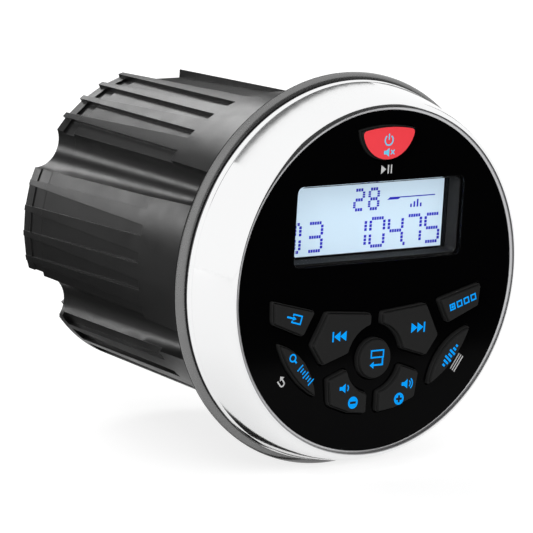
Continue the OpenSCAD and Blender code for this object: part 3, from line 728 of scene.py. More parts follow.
class Stencil:
    """Flat printed shapes on a plane that faces the front.

    An arc has a step for every ARC_STEP degrees, and at least ARC_LEAST of them.
    """

    DISC_STEPS = 40
    ARC_STEP = 9.0
    ARC_LEAST = 6

    def __init__(self, origin: Plan = (0.0, 0.0), turn: float = 0.0) -> None:
        """Start an empty print.

        Args:
            origin: Where the print's own zero lies, as x and z in millimetres.
            turn: Turn of the whole print in degrees, anticlockwise as it reads.
        """
        self.mesh = bmesh.new()
        self.frame = self._frame(origin[0], origin[1], turn)

    @staticmethod
    def _frame(x: float, z: float, turn: float) -> Matrix:
        """Give the matrix that turns a shape and then moves it."""
        return Matrix.Translation((x, 0.0, z)) @ Matrix.Rotation(-math.radians(turn), 4, "Y")

    def _place(self, verts: Sequence[BMVert], x: float, z: float, turn: float = 0.0) -> None:
        """Move fresh points from their own zero to their place in the print."""
        bmesh.ops.transform(self.mesh, matrix=self.frame @ self._frame(x, z, turn), verts=verts)

    def bar(self, x: float, z: float, width: float, height: float, turn: float = 0.0) -> Stencil:
        """Add a rectangle.

        Args:
            x: Middle across.
            z: Middle up.
            width: Its width.
            height: Its height.
            turn: Its turn in degrees, anticlockwise.

        Returns:
            The print.
        """
        made = bmesh.ops.create_grid(self.mesh, x_segments=1, y_segments=1, size=0.5)
        flat = Matrix.Rotation(math.pi / 2, 4, "X") @ Matrix.Diagonal((width, height, 1.0, 1.0))
        bmesh.ops.transform(self.mesh, matrix=flat, verts=made["verts"])
        self._place(made["verts"], x, z, turn)
        return self

    def patch(self, *points: Plan) -> Stencil:
        """Add a filled outline.

        Args:
            points: Its corners.

        Returns:
            The print.
        """
        verts = [self.mesh.verts.new((x, 0.0, z)) for x, z in points]
        self.mesh.faces.new(verts)
        self._place(verts, 0.0, 0.0)
        return self

    def disc(self, x: float, z: float, radius: float) -> Stencil:
        """Add a filled circle.

        Args:
            x: Middle across.
            z: Middle up.
            radius: Its radius.

        Returns:
            The print.
        """
        made = bmesh.ops.create_circle(self.mesh, cap_ends=True, segments=self.DISC_STEPS, radius=radius)
        bmesh.ops.transform(self.mesh, matrix=Matrix.Rotation(math.pi / 2, 4, "X"), verts=made["verts"])
        self._place(made["verts"], x, z)
        return self

    def ring(
        self, x: float, z: float, radius: float, width: float, start: float = 0.0, sweep: float = 360.0
    ) -> Stencil:
        """Add a ring or an arc of a ring.

        Args:
            x: Middle across.
            z: Middle up.
            radius: Radius of the middle of the line.
            width: Width of the line.
            start: Angle at which it starts, in degrees from the right.
            sweep: How far it runs, anticlockwise.

        Returns:
            The print.
        """
        inner = self.mesh.verts.new((radius - width / 2, 0.0, 0.0))
        outer = self.mesh.verts.new((radius + width / 2, 0.0, 0.0))
        edge = self.mesh.edges.new((inner, outer))
        before = set(self.mesh.verts) - {inner, outer}
        turn_to = Matrix.Rotation(-math.radians(start), 4, "Y")
        bmesh.ops.transform(self.mesh, matrix=turn_to, verts=[inner, outer])
        bmesh.ops.spin(
            self.mesh, geom=[inner, outer, edge], cent=(0, 0, 0), axis=(0, -1, 0), angle=math.radians(sweep),
            steps=max(self.ARC_LEAST, int(sweep / self.ARC_STEP)), use_merge=sweep >= 360.0,
        )
        self._place([v for v in self.mesh.verts if v not in before], x, z)
        return self

    def box(self, x: float, z: float, width: float, height: float, line: float) -> Stencil:
        """Add the outline of a rectangle.

        Args:
            x: Middle across.
            z: Middle up.
            width: Its width.
            height: Its height.
            line: Width of its line.

        Returns:
            The print.
        """
        for side in (-1, 1):
            self.bar(x + side * (width - line) / 2, z, line, height)
            self.bar(x, z + side * (height - line) / 2, width - 2 * line, line)
        return self

    def finish(self, y: float, lift: float = 0.02) -> BMesh:
        """Give the print its thickness and its place.

        Args:
            y: Station of the surface that it lies on.
            lift: How far it stands proud of that surface, in millimetres.

        Returns:
            The mesh, in metres and in place.
        """
        mesh = self.mesh
        bmesh.ops.recalc_face_normals(mesh, faces=mesh.faces)
        made = bmesh.ops.extrude_face_region(mesh, geom=mesh.faces[:], use_keep_orig=True)
        front = [v for v in made["geom"] if isinstance(v, BMVert)]
        bmesh.ops.translate(mesh, verts=front, vec=(0, -lift, 0))
        bmesh.ops.recalc_face_normals(mesh, faces=mesh.faces)
        bmesh.ops.translate(mesh, verts=mesh.verts, vec=(0, y, 0))
        bmesh.ops.scale(mesh, verts=mesh.verts, vec=(MM, MM, MM))
        return mesh


def band(inner: float, outer: float, front: float, back: float) -> list[Plan]:
    """Give the four corners of a plain ring's section."""
    return [(inner, front), (outer, front), (outer, back), (inner, back)]


@dataclass
class TrimRing:
    """The bright ring round the face.

    Its section has a crest at the front, a side that bulges outwards, a fine groove at the waist and a
    bead at the back.
    """

    face_r: float = 46.65
    crest_r: float = 47.8
    back_r: float = 52.5
    plate_r: float = 47.9
    y_face: float = FACE_Y
    y_back: float = -3.3
    y_shelf: float = -8.0
    crest: float = 0.7
    crest_w: float = 0.7
    crest_drop: float = 0.3
    side_curve: float = 0.62
    side_steps: int = 24
    waist: float = 0.45
    groove_start: float = 0.15
    groove_floor: float = 0.08
    groove_depth: float = 0.12
    shoulder: float = 0.06
    bead: float = 1.75
    bead_edge: float = 0.4
    bead_back: float = 0.1
    bead_round: float = 0.25
    skirt: float = 2.0
    lip_rise: float = 0.4
    lip_top: float = 0.4
    lip_rounds: Plan = (0.2, 0.3)
    smooth: float = 38.0

    def bead_corner(self) -> Plan:
        """Give the widest corner of the bead."""
        return self.back_r, self.y_back - self.bead_edge

    def profile(self) -> list[Plan]:
        """Give the corners of the ring's section.

        Returns:
            Radius and station of each corner.
        """
        top = self.y_face - self.crest
        corner_r = self.crest_r + self.crest_w
        waist_r = self.back_r - self.waist
        y_shoulder = self.y_back - self.bead
        low = top + self.crest_drop
        high = y_shoulder - self.groove_start
        side: list[Plan] = []
        for step in range(self.side_steps + 1):
            share = step / self.side_steps
            radius = corner_r + (waist_r - corner_r) * share**self.side_curve
            side.append((radius, low + (high - low) * share))
        return [
            (self.crest_r, self.y_face),
            (self.crest_r, top),
            *side,
            (waist_r - self.groove_depth, y_shoulder - self.groove_floor),
            (waist_r + self.shoulder, y_shoulder),
            self.bead_corner(),
            (self.back_r - self.bead_back, self.y_back),
            (self.back_r - self.skirt, self.y_back),
            (self.back_r - self.skirt, self.y_shelf),
            (self.plate_r, self.y_shelf),
            (self.plate_r, self.y_face),
        ]

    def build(self, shop: Workshop) -> None:
        """Turn the ring and the lip inside its crest.

        Args:
            shop: Where the pieces are made.
        """
        corners = self.profile()
        rounds = {corners.index(self.bead_corner()): self.bead_round}
        ring = lathe(corners, rounds, RING_STEPS)
        shop.add(
            "trim_ring", ring, Palette.chrome, "bright_trim", replaces=["trim_bezel"], smooth=self.smooth
        )
        top = self.y_face - self.crest
        section: list[Plan] = [
            (self.face_r, self.y_face),
            (self.face_r, self.y_face - self.crest * self.lip_rise),
            (self.crest_r - self.lip_top, top),
            (self.crest_r, top),
            (self.crest_r, self.y_face),
        ]
        lip = lathe(section, dict(enumerate(self.lip_rounds, start=1)), RING_STEPS)
        shop.add("trim_lip", lip, Palette.lip, "bright_trim", smooth=self.smooth)


@dataclass
class Gasket:
    """The grey ring that seals the unit on the panel, and two black rings beside it that are painted shade.
    """

    inner_r: float = 47.1
    outer_r: float = 54.1
    y_front: float = -2.6
    crown: Plan = (1.7, 1.95)
    crown_steps: int = 12
    # A black ring in the gap in front of the gasket: painted shadow where only shade falls.
    gap_shade_r: float = 52.3
    gap_shade_w: float = 1.6
    gap_shade_h: float = 0.65
    gap_shade_round: float = 0.15
    # A thin black ring behind the gasket: painted shade along its back edge.
    shade_ring_r: float = 54.0
    shade_ring_t: float = 0.45
    smooth: float = 40.0

    def build(self, shop: Workshop) -> None:
        """Turn the gasket, a black ring of painted shadow in the gap in front of it and a black ring of
        painted shade behind it.

        Args:
            shop: Where the pieces are made.
        """
        # Painted shadow: a black ring fills the gap between the trim ring and the gasket.
        section = band(self.gap_shade_r - self.gap_shade_w, self.gap_shade_r, self.y_front - self.gap_shade_h, self.y_front)
        lip = lathe(section, {1: self.gap_shade_round}, RING_STEPS)
        shop.add("gap_shade_ring", lip, Palette.border, "black_rubber", smooth=self.smooth)
        back = -self.shade_ring_t
        wide, deep = self.crown
        corners: list[Plan] = [(self.inner_r, self.y_front)]
        for step in range(self.crown_steps + 1):
            turn = math.pi / 2 * step / self.crown_steps
            radius = self.outer_r - wide * (1 - math.sin(turn))
            corners.append((radius, self.y_front + deep * (1 - math.cos(turn))))
        ring = lathe([*corners, (self.outer_r, back), (self.inner_r, back)], {}, RING_STEPS)
        shop.add(
            "panel_ring", ring, Palette.gasket, "gasket_rubber", replaces=["panel_gasket"], smooth=self.smooth
        )
        # Painted shade: a thin black ring behind the gasket darkens its back edge where it meets the body.
        black_band = lathe(band(self.inner_r, self.shade_ring_r, back, 0.0), {}, RING_STEPS)
        shop.add("panel_shade_ring", black_band, Palette.border, "black_rubber", smooth=self.smooth)


@dataclass
class Body:
    """The ribbed body behind the panel and its rear cover."""

    def build(self, shop: Workshop) -> None:
        """Dress the housing and the cover, whose imported shapes are kept as they are."""
        shop.dress(Palette.body, "rear_housing", "rear_cover")


@dataclass
class Face:
    """The gloss front plate with its printed marks."""

    y: float = FACE_Y
    edge: float = 0.18
    edge_steps: int = 3
    level: float = 0.01
    sharp: float = 40.0
    line: float = 0.42
    play_at: Plan = (1.0, 30.5)
    play_h: float = 2.4
    pause_w: float = 0.4
    back_at: Spot = ((-30.6, -25.4), 38.0)
    back_r: float = 0.75
    menu_at: Spot = ((30.2, -24.9), 55.0)
    menu_w: float = 5.0
    menu_line: float = 0.36
    menu_pitch: float = 0.8

    def build(self, shop: Workshop) -> None:
        """Round the openings of the plate and print its marks.

        Args:
            shop: Where the pieces are made.
        """
        mesh = shop.copy("face_panel")
        front = self.y * MM
        rims = sharp_edges(mesh, self.sharp, lambda point: abs(point.y - front) < self.level * MM)
        soften(mesh, rims, self.edge, self.edge_steps)
        shop.add(
            "front_plate", mesh, Palette.face, "gloss_face", replaces=["face_panel"],
            smooth=self.sharp, even=True,
        )
        self.show(shop, "print_play", self.draw_play())
        self.show(shop, "print_back", self.draw_back())
        self.show(shop, "print_menu", self.draw_menu())

    def show(self, shop: Workshop, name: str, mark: Stencil) -> None:
        """Lay a drawn mark on the plate."""
        shop.add(name, mark.finish(self.y), Palette.silver_print, "gloss_face")

    def draw_play(self) -> Stencil:
        """Draw the play and pause mark over the display.

        Returns:
            The print.
        """
        half = self.play_h / 2
        mark = Stencil(self.play_at).patch((-1.9, -half), (-0.2, 0.0), (-1.9, half))
        for x in (0.55, 1.6):
            mark.bar(x, 0, self.pause_w, self.play_h)
        return mark

    def draw_back(self) -> Stencil:
        """Draw the turn-back arrow beside the left lens-shaped key.

        Returns:
            The print.
        """
        mark = Stencil(*self.back_at).ring(0, -0.5, self.back_r, self.line, start=180, sweep=180)
        mark.bar(-self.back_r, 0.25, self.line, 1.5).bar(self.back_r, -0.025, self.line, 0.95)
        return mark.patch((-0.15, 0.45), (1.65, 0.45), (self.back_r, 1.5))

    def draw_menu(self) -> Stencil:
        """Draw three lines beside the right lens-shaped key.

        Returns:
            The print.
        """
        mark = Stencil(*self.menu_at)
        for row in (-1, 0, 1):
            mark.bar(0, row * self.menu_pitch, self.menu_w, self.menu_line)
        return mark


@dataclass(frozen=True)
class Number:
    """A number on the display, with the lower left corner of its first digit."""

    digits: str
    x: float
    z: float
    width: float
    height: float
    pitch: float


@dataclass
class Display:
    """The lit display behind its window."""

    y_glass: float = -11.0
    half_w: float = 27.65
    low: float = 6.6
    high: float = 26.2
    frame_round: float = 0.12
    frame_sharp: float = 40.0
    lens_round: float = 0.1
    lens_sharp: float = 60.0
    smooth: float = 40.0
    field_lift: float = 0.03
    picture_lift: float = 0.02
    foam_w: float = 0.26
    foam_h: float = 1.6
    foam_l: float = 20.2
    foam_gap: float = 0.05
    line: float = 0.84
    dash: float = 0.86
    dash_share: float = 0.8
    dash_least: int = 3
    rest_up: float = 0.9
    rest_across: float = 0.5
    numbers: tuple[Number, ...] = (
        Number("03", x=-26.0, z=7.95, width=4.6, height=7.6, pitch=7.4),
        Number("10475", x=-3.7, z=7.95, width=4.7, height=7.6, pitch=6.4),
        Number("28", x=-3.4, z=18.3, width=3.1, height=5.4, pitch=5.1),
    )
    point_at: Plan = (14.65, 7.95)
    point_size: Plan = (0.7, 0.9)
    needle: tuple[Plan, ...] = ((7.9, 20.4), (11.8, 20.4), (13.0, 21.05), (8.9, 21.1))
    rule_at: Plan = (18.7, 20.92)
    rule_size: Plan = (11.9, 0.3)
    level_at: Plan = (16.4, 17.9)
    level_w: float = 0.55
    level_pitch: float = 1.13
    levels: tuple[float, ...] = (0.95, 1.55, 2.15, 1.05)
    shapes: dict[str, str] = field(default_factory=lambda: {
        "0": "abcdef", "1": "bc", "2": "abged", "3": "abgcd", "4": "fgbc",
        "5": "afgcd", "6": "afgedc", "7": "abc", "8": "abcdefg", "9": "abcdfg",
    })

    def build(self, shop: Workshop) -> None:
        """Dress the frame, the glass and the window, and draw the picture.

        Args:
            shop: Where the pieces are made.
        """
        frame = shop.copy("lcd_frame")
        soften(frame, sharp_edges(frame, self.frame_sharp), self.frame_round)
        shop.add(
            "window_frame", frame, Palette.frame, "grey_frame", replaces=["lcd_frame"],
            smooth=self.smooth, even=True,
        )
        shop.dress(Palette.border, "lcd_panel")
        shop.dress(Palette.guide, "lcd_backlight")
        lens = shop.copy("display_lens")
        soften(lens, sharp_edges(lens, self.lens_sharp), self.lens_round)
        pane = shop.add(
            "window_lens", lens, Palette.lens, "clear_lens", replaces=["display_lens"],
            smooth=self.smooth, even=True,
        )
        pane.visible_shadow = False
        middle = (self.low + self.high) / 2
        lit = Stencil().bar(0, middle, 2 * self.half_w, self.high - self.low)
        shop.add("display_field", lit.finish(self.y_glass, self.field_lift), Palette.display, "display_glass")
        black_band = Stencil()
        for side in Side:
            out = self.half_w + self.foam_gap + self.foam_w / 2
            black_band.bar(side.value * out, middle, self.foam_w, self.foam_l)
        shop.add("display_foam", black_band.finish(self.y_glass, self.foam_h), Palette.border, "black_rubber")
        picture = self.draw().finish(self.y_glass - self.field_lift, self.picture_lift)
        shop.add("display_picture", picture, Palette.segment, "display_glass")

    def digit(self, mark: Stencil, number: Number, place: int) -> None:
        """Draw one digit of a number from dashed strokes.

        Args:
            mark: The print that it is added to.
            number: The number.
            place: Which of its digits.
        """
        x = number.x + place * number.pitch
        width, height, half = number.width, number.height, number.height / 2
        strokes: dict[str, tuple[Plan, Plan]] = {
            "a": ((0, height), (width, height)),
            "b": ((width, half), (width, height)),
            "c": ((width, 0), (width, half)),
            "d": ((0, 0), (width, 0)),
            "e": ((0, 0), (0, half)),
            "f": ((0, half), (0, height)),
            "g": ((0, half), (width, half)),
        }
        for key in self.shapes[number.digits[place]]:
            (x0, z0), (x1, z1) = strokes[key]
            length = math.hypot(x1 - x0, z1 - z0)
            upright = x0 == x1
            rest = self.rest_up if upright else self.rest_across
            count = max(self.dash_least, round((length - rest) / self.dash))
            step = (length - rest) / count
            dash = step * self.dash_share
            size = (self.line, dash) if upright else (dash, self.line)
            for index in range(count):
                share = (rest / 2 + (index + 0.5) * step) / length
                mark.bar(x + x0 + (x1 - x0) * share, number.z + z0 + (z1 - z0) * share, *size)

    def draw(self) -> Stencil:
        """Draw plain numbers, a level line and bars on the lit field.

        Returns:
            The print.
        """
        mark = Stencil()
        for number in self.numbers:
            for place in range(len(number.digits)):
                self.digit(mark, number, place)
        mark.bar(*self.point_at, *self.point_size)
        mark.patch(*self.needle).bar(*self.rule_at, *self.rule_size)
        x, z = self.level_at
        for index, height in enumerate(self.levels):
            mark.bar(x + index * self.level_pitch, z + height / 2, self.level_w, height)
        return mark


@dataclass
class Keys:
    """The ten press keys with their printed marks.

    The steps of a key's front are pairs: how far in from its outline, and how far behind its top.
    """

    y_top: float = -20.3
    y_power: float = -19.9
    steps: tuple[Plan, ...] = (
        (0.0, 1.05), (0.02, 0.95), (0.07, 0.88), (0.14, 0.86), (0.24, 0.86), (0.26, 1.5),
        (0.42, 1.5), (0.44, 0.18), (0.47, 0.08), (0.52, 0.02), (0.58, 0.0),
    )
    stride: float = 0.06
    level: float = 0.001
    merge: float = 0.03
    smooth: float = 50.0
    plate_r: float = 9.05
    plate_mid: float = 42.5
    plate_lift: float = 0.02
    plate_arc: Plan = (198.0, 144.0)
    plate_steps: int = 14
    crown_r: float = 42.25
    crown_share: float = 0.985
    crown_steps: int = 8
    tip_round: float = 1.1
    tip_steps: int = 5
    tip_share: float = 0.96
    tip_drop: float = 1.5
    mark_lift: float = 0.02
    sign_lift: float = 0.035
    line: float = 0.42
    thin: float = 0.36
    power_at: Plan = (0.0, 38.7)
    source_at: Spot = ((-28.6, -7.9), -15.0)
    preset_at: Spot = ((29.5, -7.6), 17.0)
    band_at: Spot = ((-28.5, -18.6), -47.0)
    audio_at: Spot = ((26.25, -22.25), 50.0)
    enter_at: Plan = (0.5, -21.1)
    skip_at: dict[Side, Plan] = field(
        default_factory=lambda: {Side.LEFT: (-13.05, -13.9), Side.RIGHT: (14.2, -13.5)}
    )
    speaker_at: dict[Side, Plan] = field(
        default_factory=lambda: {Side.LEFT: (-10.0, -28.4), Side.RIGHT: (11.5, -28.9)}
    )
    sign_at: dict[Side, Plan] = field(
        default_factory=lambda: {Side.LEFT: (-6.95, -32.6), Side.RIGHT: (9.05, -32.9)}
    )

    def build(self, shop: Workshop) -> None:
        """Make the caps and print every mark.

        Args:
            shop: Where the pieces are made.
        """
        self.cap(shop, "key_power")
        self.plate(shop)
        names = ("source", "preset", "previous", "next", "band", "audio", "enter", "volume_down", "volume_up")
        for name in names:
            self.cap(shop, "key_" + name)
        self.mark(shop, "key_power", self.draw_power(), Palette.pale_print)
        self.mark(shop, "key_source", self.draw_source(), Palette.blue_print)
        self.mark(shop, "key_preset", self.draw_preset(), Palette.blue_print)
        self.mark(shop, "key_previous", self.draw_skip(Side.LEFT), Palette.blue_print)
        self.mark(shop, "key_next", self.draw_skip(Side.RIGHT), Palette.blue_print)
        self.mark(shop, "key_band", self.draw_band(), Palette.blue_print)
        self.mark(shop, "key_audio", self.draw_audio(), Palette.blue_print)
        self.mark(shop, "key_enter", self.draw_enter(), Palette.blue_print)
        for side, node in ((Side.LEFT, "key_volume_down"), (Side.RIGHT, "key_volume_up")):
            self.mark(shop, node, self.draw_volume(side), Palette.blue_print)
            sign = self.draw_sign(side).finish(self.y_top, self.sign_lift)
            shop.add(node + "_sign", sign, Palette.keys, "key_rubber", body=node)

    def cap(self, shop: Workshop, node: str) -> None:
        """Make one key with a rounded, stepped front.

        Args:
            shop: Where the pieces are made.
            node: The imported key, which is also the body that moves.
        """
        mesh = shop.copy(node)
        self.step_back(mesh)
        bmesh.ops.recalc_face_normals(mesh, faces=mesh.faces)
        shop.add(
            node + "_cap", mesh, Palette.keys, "key_rubber", body=node, replaces=[node],
            smooth=self.smooth, even=True,
        )

    def step_back(self, mesh: BMesh) -> None:
        """Set the top of a key back from its rounded shoulder, with a fine groove between them.

        Args:
            mesh: The key.
        """
        front = min(v.co.y for v in mesh.verts)

        def top() -> BMFace:
            """Give the face in the middle of the top."""
            level = [f for f in mesh.faces if all(v.co.y - front < self.level * MM for v in f.verts)]
            return max(level, key=BMFace.calc_area)

        for (start, high), (stop, low) in zip(self.steps, self.steps[1:]):
            count = math.ceil((stop - start) / self.stride)
            width = (stop - start) / count * MM
            for step in range(count):
                bmesh.ops.inset_region(
                    mesh, faces=[top()], thickness=width, use_boundary=True, use_even_offset=True
                )
                bmesh.ops.remove_doubles(mesh, verts=list(top().verts), dist=self.merge * MM)
                middle = top()
                ring = {v for e in middle.edges for f in e.link_faces for v in f.verts} - set(middle.verts)
                for vert in ring:
                    vert.co.y = front + (high + (low - high) * step / count) * MM

    def plate(self, shop: Workshop) -> None:
        """Lay the red plate on the half-moon key.

        Args:
            shop: Where the pieces are made.
        """
        points: list[Plan] = []
        tip = math.asin(self.plate_r * self.crown_share / self.crown_r)
        for step in range(self.crown_steps + 1):
            turn = math.pi / 2 - tip + 2 * tip * step / self.crown_steps
            points.append((self.crown_r * math.cos(turn), self.crown_r * math.sin(turn)))
        start, sweep = self.plate_arc
        for step in range(self.plate_steps + 1):
            turn = math.radians(start + sweep * step / self.plate_steps)
            points.append((self.plate_r * math.cos(turn), self.plate_mid + self.plate_r * math.sin(turn)))
        mark = Stencil().patch(*points)
        wide = self.plate_r * self.tip_share
        tips = [v for v in mark.mesh.verts if abs(v.co.x) > wide and v.co.z > self.crown_r - self.tip_drop]
        bmesh.ops.bevel(
            mark.mesh, geom=tips, offset=self.tip_round, offset_type="OFFSET", segments=self.tip_steps,
            profile=0.5, affect="VERTICES", clamp_overlap=True, material=-1,
        )
        plate = mark.finish(self.y_power, self.plate_lift)
        shop.add("key_power_plate", plate, Palette.red_key, "red_key", body="key_power")

    def mark(self, shop: Workshop, node: str, stencil: Stencil, finish: Finish) -> None:
        """Print a mark on a key.

        Args:
            shop: Where the pieces are made.
            node: The key.
            stencil: The drawn mark.
            finish: Its colour.
        """
        on_plate = node == "key_power"
        y = self.y_power - self.plate_lift if on_plate else self.y_top
        slot = "red_key" if on_plate else "key_rubber"
        shop.add(node + "_mark", stencil.finish(y, self.mark_lift), finish, slot, body=node)

    @staticmethod
    def speaker(mark: Stencil, z: float, throat_x: float, box_w: float, cone_w: float, mouth: float) -> None:
        """Draw a loudspeaker.

        Args:
            mark: The print that it is added to.
            z: Height of its middle.
            throat_x: Where its cone starts.
            box_w: Width of the box behind the cone.
            cone_w: Length of the cone.
            mouth: Half the height of the cone's mouth.
        """
        throat = 0.5
        end = throat_x + cone_w
        mark.bar(throat_x - box_w / 2, z, box_w, 2 * throat)
        mark.patch((throat_x, z - throat), (end, z - mouth), (end, z + mouth), (throat_x, z + throat))

    def draw_power(self) -> Stencil:
        """Draw the power sign and a muted speaker.

        Returns:
            The print.
        """
        mark = Stencil(self.power_at).ring(0, 0, 1.35, self.line, start=125, sweep=290)
        mark.bar(0, 0.95, self.line, 1.7)
        row = -3.3
        self.speaker(mark, row, throat_x=-0.7, box_w=0.8, cone_w=1.0, mouth=1.2)
        cross_x, cross_l, cross_w, half = 1.5, 1.7, 0.34, 0.68
        mark.bar(cross_x, row, cross_l, cross_w, 45)
        for side in Side:
            shift = side.value * 0.36
            mark.bar(cross_x + shift, row - shift, half, cross_w, -45)
        return mark

    def draw_source(self) -> Stencil:
        """Draw the input mark, an arrow into an open box.

        Returns:
            The print.
        """
        mark = Stencil(*self.source_at).bar(2.19, 0, self.line, 2.6)
        for side in Side:
            mark.bar(0.49, side.value * 1.09, 2.98, self.line).bar(-0.79, side.value * 0.76, self.line, 0.24)
        return mark.bar(-1.75, 0, 2.1, 0.5).patch((-0.7, -0.6), (0.55, 0.0), (-0.7, 0.6))

    def draw_preset(self) -> Stencil:
        """Draw a row of four memory places, the first of them taken.

        Returns:
            The print.
        """
        mark = Stencil(*self.preset_at)
        first, pitch, size, line = -3.75, 2.5, 1.9, 0.4
        for index in range(4):
            mark.box(first + index * pitch, 0, size, size, line)
        return mark.disc(first, 0, 0.4)

    def draw_skip(self, side: Side) -> Stencil:
        """Draw the mark of one of the two skip keys.

        Args:
            side: The half of the face that the key is on.

        Returns:
            The print.
        """
        way = side.value
        length, half = 2.1, 1.4
        mark = Stencil(self.skip_at[side]).bar(way * 2.15, 0, 0.5, 2 * half)
        for start in (-2.4, -0.3):
            mark.patch((way * start, -half), (way * (start + length), 0.0), (way * start, half))
        return mark

    def draw_band(self) -> Stencil:
        """Draw the search glass and the tuning scale.

        Returns:
            The print.
        """
        mark = Stencil(*self.band_at).ring(0, 0, 0.95, self.line).bar(1.57, 0, 0.84, 0.5)
        for index in range(7):
            mark.bar(4.0 + index * 0.95, 0, self.thin, 2.4 if index % 3 == 0 else 1.4)
        return mark

    def draw_audio(self) -> Stencil:
        """Draw a row of level bars.

        Returns:
            The print.
        """
        mark = Stencil(*self.audio_at)
        for index, height in enumerate((1.0, 1.9, 2.7, 1.6, 2.3, 1.2, 0.8)):
            mark.bar(-3.3 + index * 1.1, 0, 0.62, height)
        return mark

    def draw_enter(self) -> Stencil:
        """Draw a screen and a confirming arrow.

        Returns:
            The print.
        """
        arrow_w = 0.5
        mark = Stencil(self.enter_at).box(0, 1.35, 4.6, 2.3, self.line)
        mark.bar(0.525, -1.7, 3.25, arrow_w).bar(1.9, -0.625, arrow_w, 1.65)
        return mark.patch((-2.5, -1.7), (-1.1, -2.65), (-1.1, -0.75))

    def draw_volume(self, side: Side) -> Stencil:
        """Draw the speaker, with one wave or two, and the disc of a volume key.

        Args:
            side: The half of the face that the key is on.

        Returns:
            The print.
        """
        mark = Stencil(self.speaker_at[side])
        self.speaker(mark, 0.0, throat_x=-0.9, box_w=0.9, cone_w=1.1, mouth=1.3)
        for radius in (1.0,) if side is Side.LEFT else (1.0, 1.75):
            mark.ring(0.2, 0, radius, self.thin, start=-50, sweep=100)
        join(mark.mesh, Stencil(self.sign_at[side]).disc(0, 0, 1.67).mesh)
        return mark

    def draw_sign(self, side: Side) -> Stencil:
        """Draw the minus or plus that lies on the disc of a volume key.

        Args:
            side: The half of the face that the key is on.

        Returns:
            The print.
        """
        line = 0.64
        mark = Stencil(self.sign_at[side]).bar(0, 0, 2.0, line)
        if side is Side.RIGHT:
            for end in (0.66, -0.66):
                mark.bar(0, end, line, 0.68)
        return mark


@dataclass
class Screws:
    """A set of socket-head screws along the axis of the body."""

    name: str
    node: str
    circle: float
    angles: tuple[float, ...]
    seat: float
    length: float
    head_r: float = 2.9
    head_h: float = 2.2
    head_steps: int = 24
    head_round: float = 0.45
    round_steps: int = 3
    shank_r: float = 1.5
    socket_sides: int = 6
    socket_share: float = 0.5
    socket_floor: float = 0.45
    rim_share: float = 0.8
    level: float = 0.01
    sharp: float = 60.0
    smooth: float = 40.0

    def one(self) -> BMesh:
        """Make one screw with its head towards +Y.

        Returns:
            The mesh in metres, with the seat of the head at zero.
        """
        mesh = bmesh.new()
        ring = bmesh.ops.create_circle(mesh, segments=self.head_steps, radius=self.head_r * MM)["verts"]
        socket_r = self.head_r * self.socket_share
        socket = bmesh.ops.create_circle(mesh, segments=self.socket_sides, radius=socket_r * MM)["verts"]
        rim = {e for v in ring for e in v.link_edges}
        mouth = {e for v in socket for e in v.link_edges}
        bmesh.ops.bridge_loops(mesh, edges=list(rim | mouth))
        bmesh.ops.translate(mesh, verts=mesh.verts, vec=(0, 0, self.head_h * MM))
        shank = self.shank_r / self.head_r
        self.draw_down(mesh, list(rim), [(1.0, 0.0), (shank, 0.0), (1.0, -self.length)])
        self.draw_down(mesh, list(mouth), [(1.0, self.head_h * self.socket_floor)])
        bmesh.ops.recalc_face_normals(mesh, faces=mesh.faces)
        soften(mesh, sharp_edges(mesh, self.sharp, self.on_rim), self.head_round, self.round_steps)
        turn = Matrix.Rotation(-math.pi / 2, 3, "X")
        bmesh.ops.rotate(mesh, verts=mesh.verts, cent=(0, 0, 0), matrix=turn)
        return mesh

    def on_rim(self, point: Vector) -> bool:
        """Tell whether a point is on the outer edge of the head's top."""
        outside = point.xy.length > self.head_r * self.rim_share * MM
        return outside and point.z > (self.head_h - self.level) * MM

    @staticmethod
    def draw_down(mesh: BMesh, edges: list[BMEdge], steps: Sequence[Plan]) -> None:
        """Pull a closed loop of edges through stations and close it.

        Args:
            mesh: The mesh.
            edges: The loop.
            steps: For each pull, the share by which the loop is scaled, and its height in millimetres.
        """
        for share, height in steps:
            made = bmesh.ops.extrude_edge_only(mesh, edges=edges)
            verts = [g for g in made["geom"] if isinstance(g, BMVert)]
            edges = [g for g in made["geom"] if isinstance(g, BMEdge)]
            for vert in verts:
                vert.co = Vector((vert.co.x * share, vert.co.y * share, height * MM))
        bmesh.ops.holes_fill(mesh, edges=edges, sides=0)

    def build(self, shop: Workshop) -> None:
        """Place one screw at every angle.

        Args:
            shop: Where the pieces are made.
        """
        whole = bmesh.new()
        for angle in self.angles:
            screw = self.one()
            turn = math.radians(angle)
            place = Vector((self.circle * math.cos(turn), self.seat, self.circle * math.sin(turn))) * MM
            bmesh.ops.translate(screw, verts=screw.verts, vec=place)
            join(whole, screw)
        shop.add(self.name, whole, Palette.steel, "plated_steel", replaces=[self.node], smooth=self.smooth)


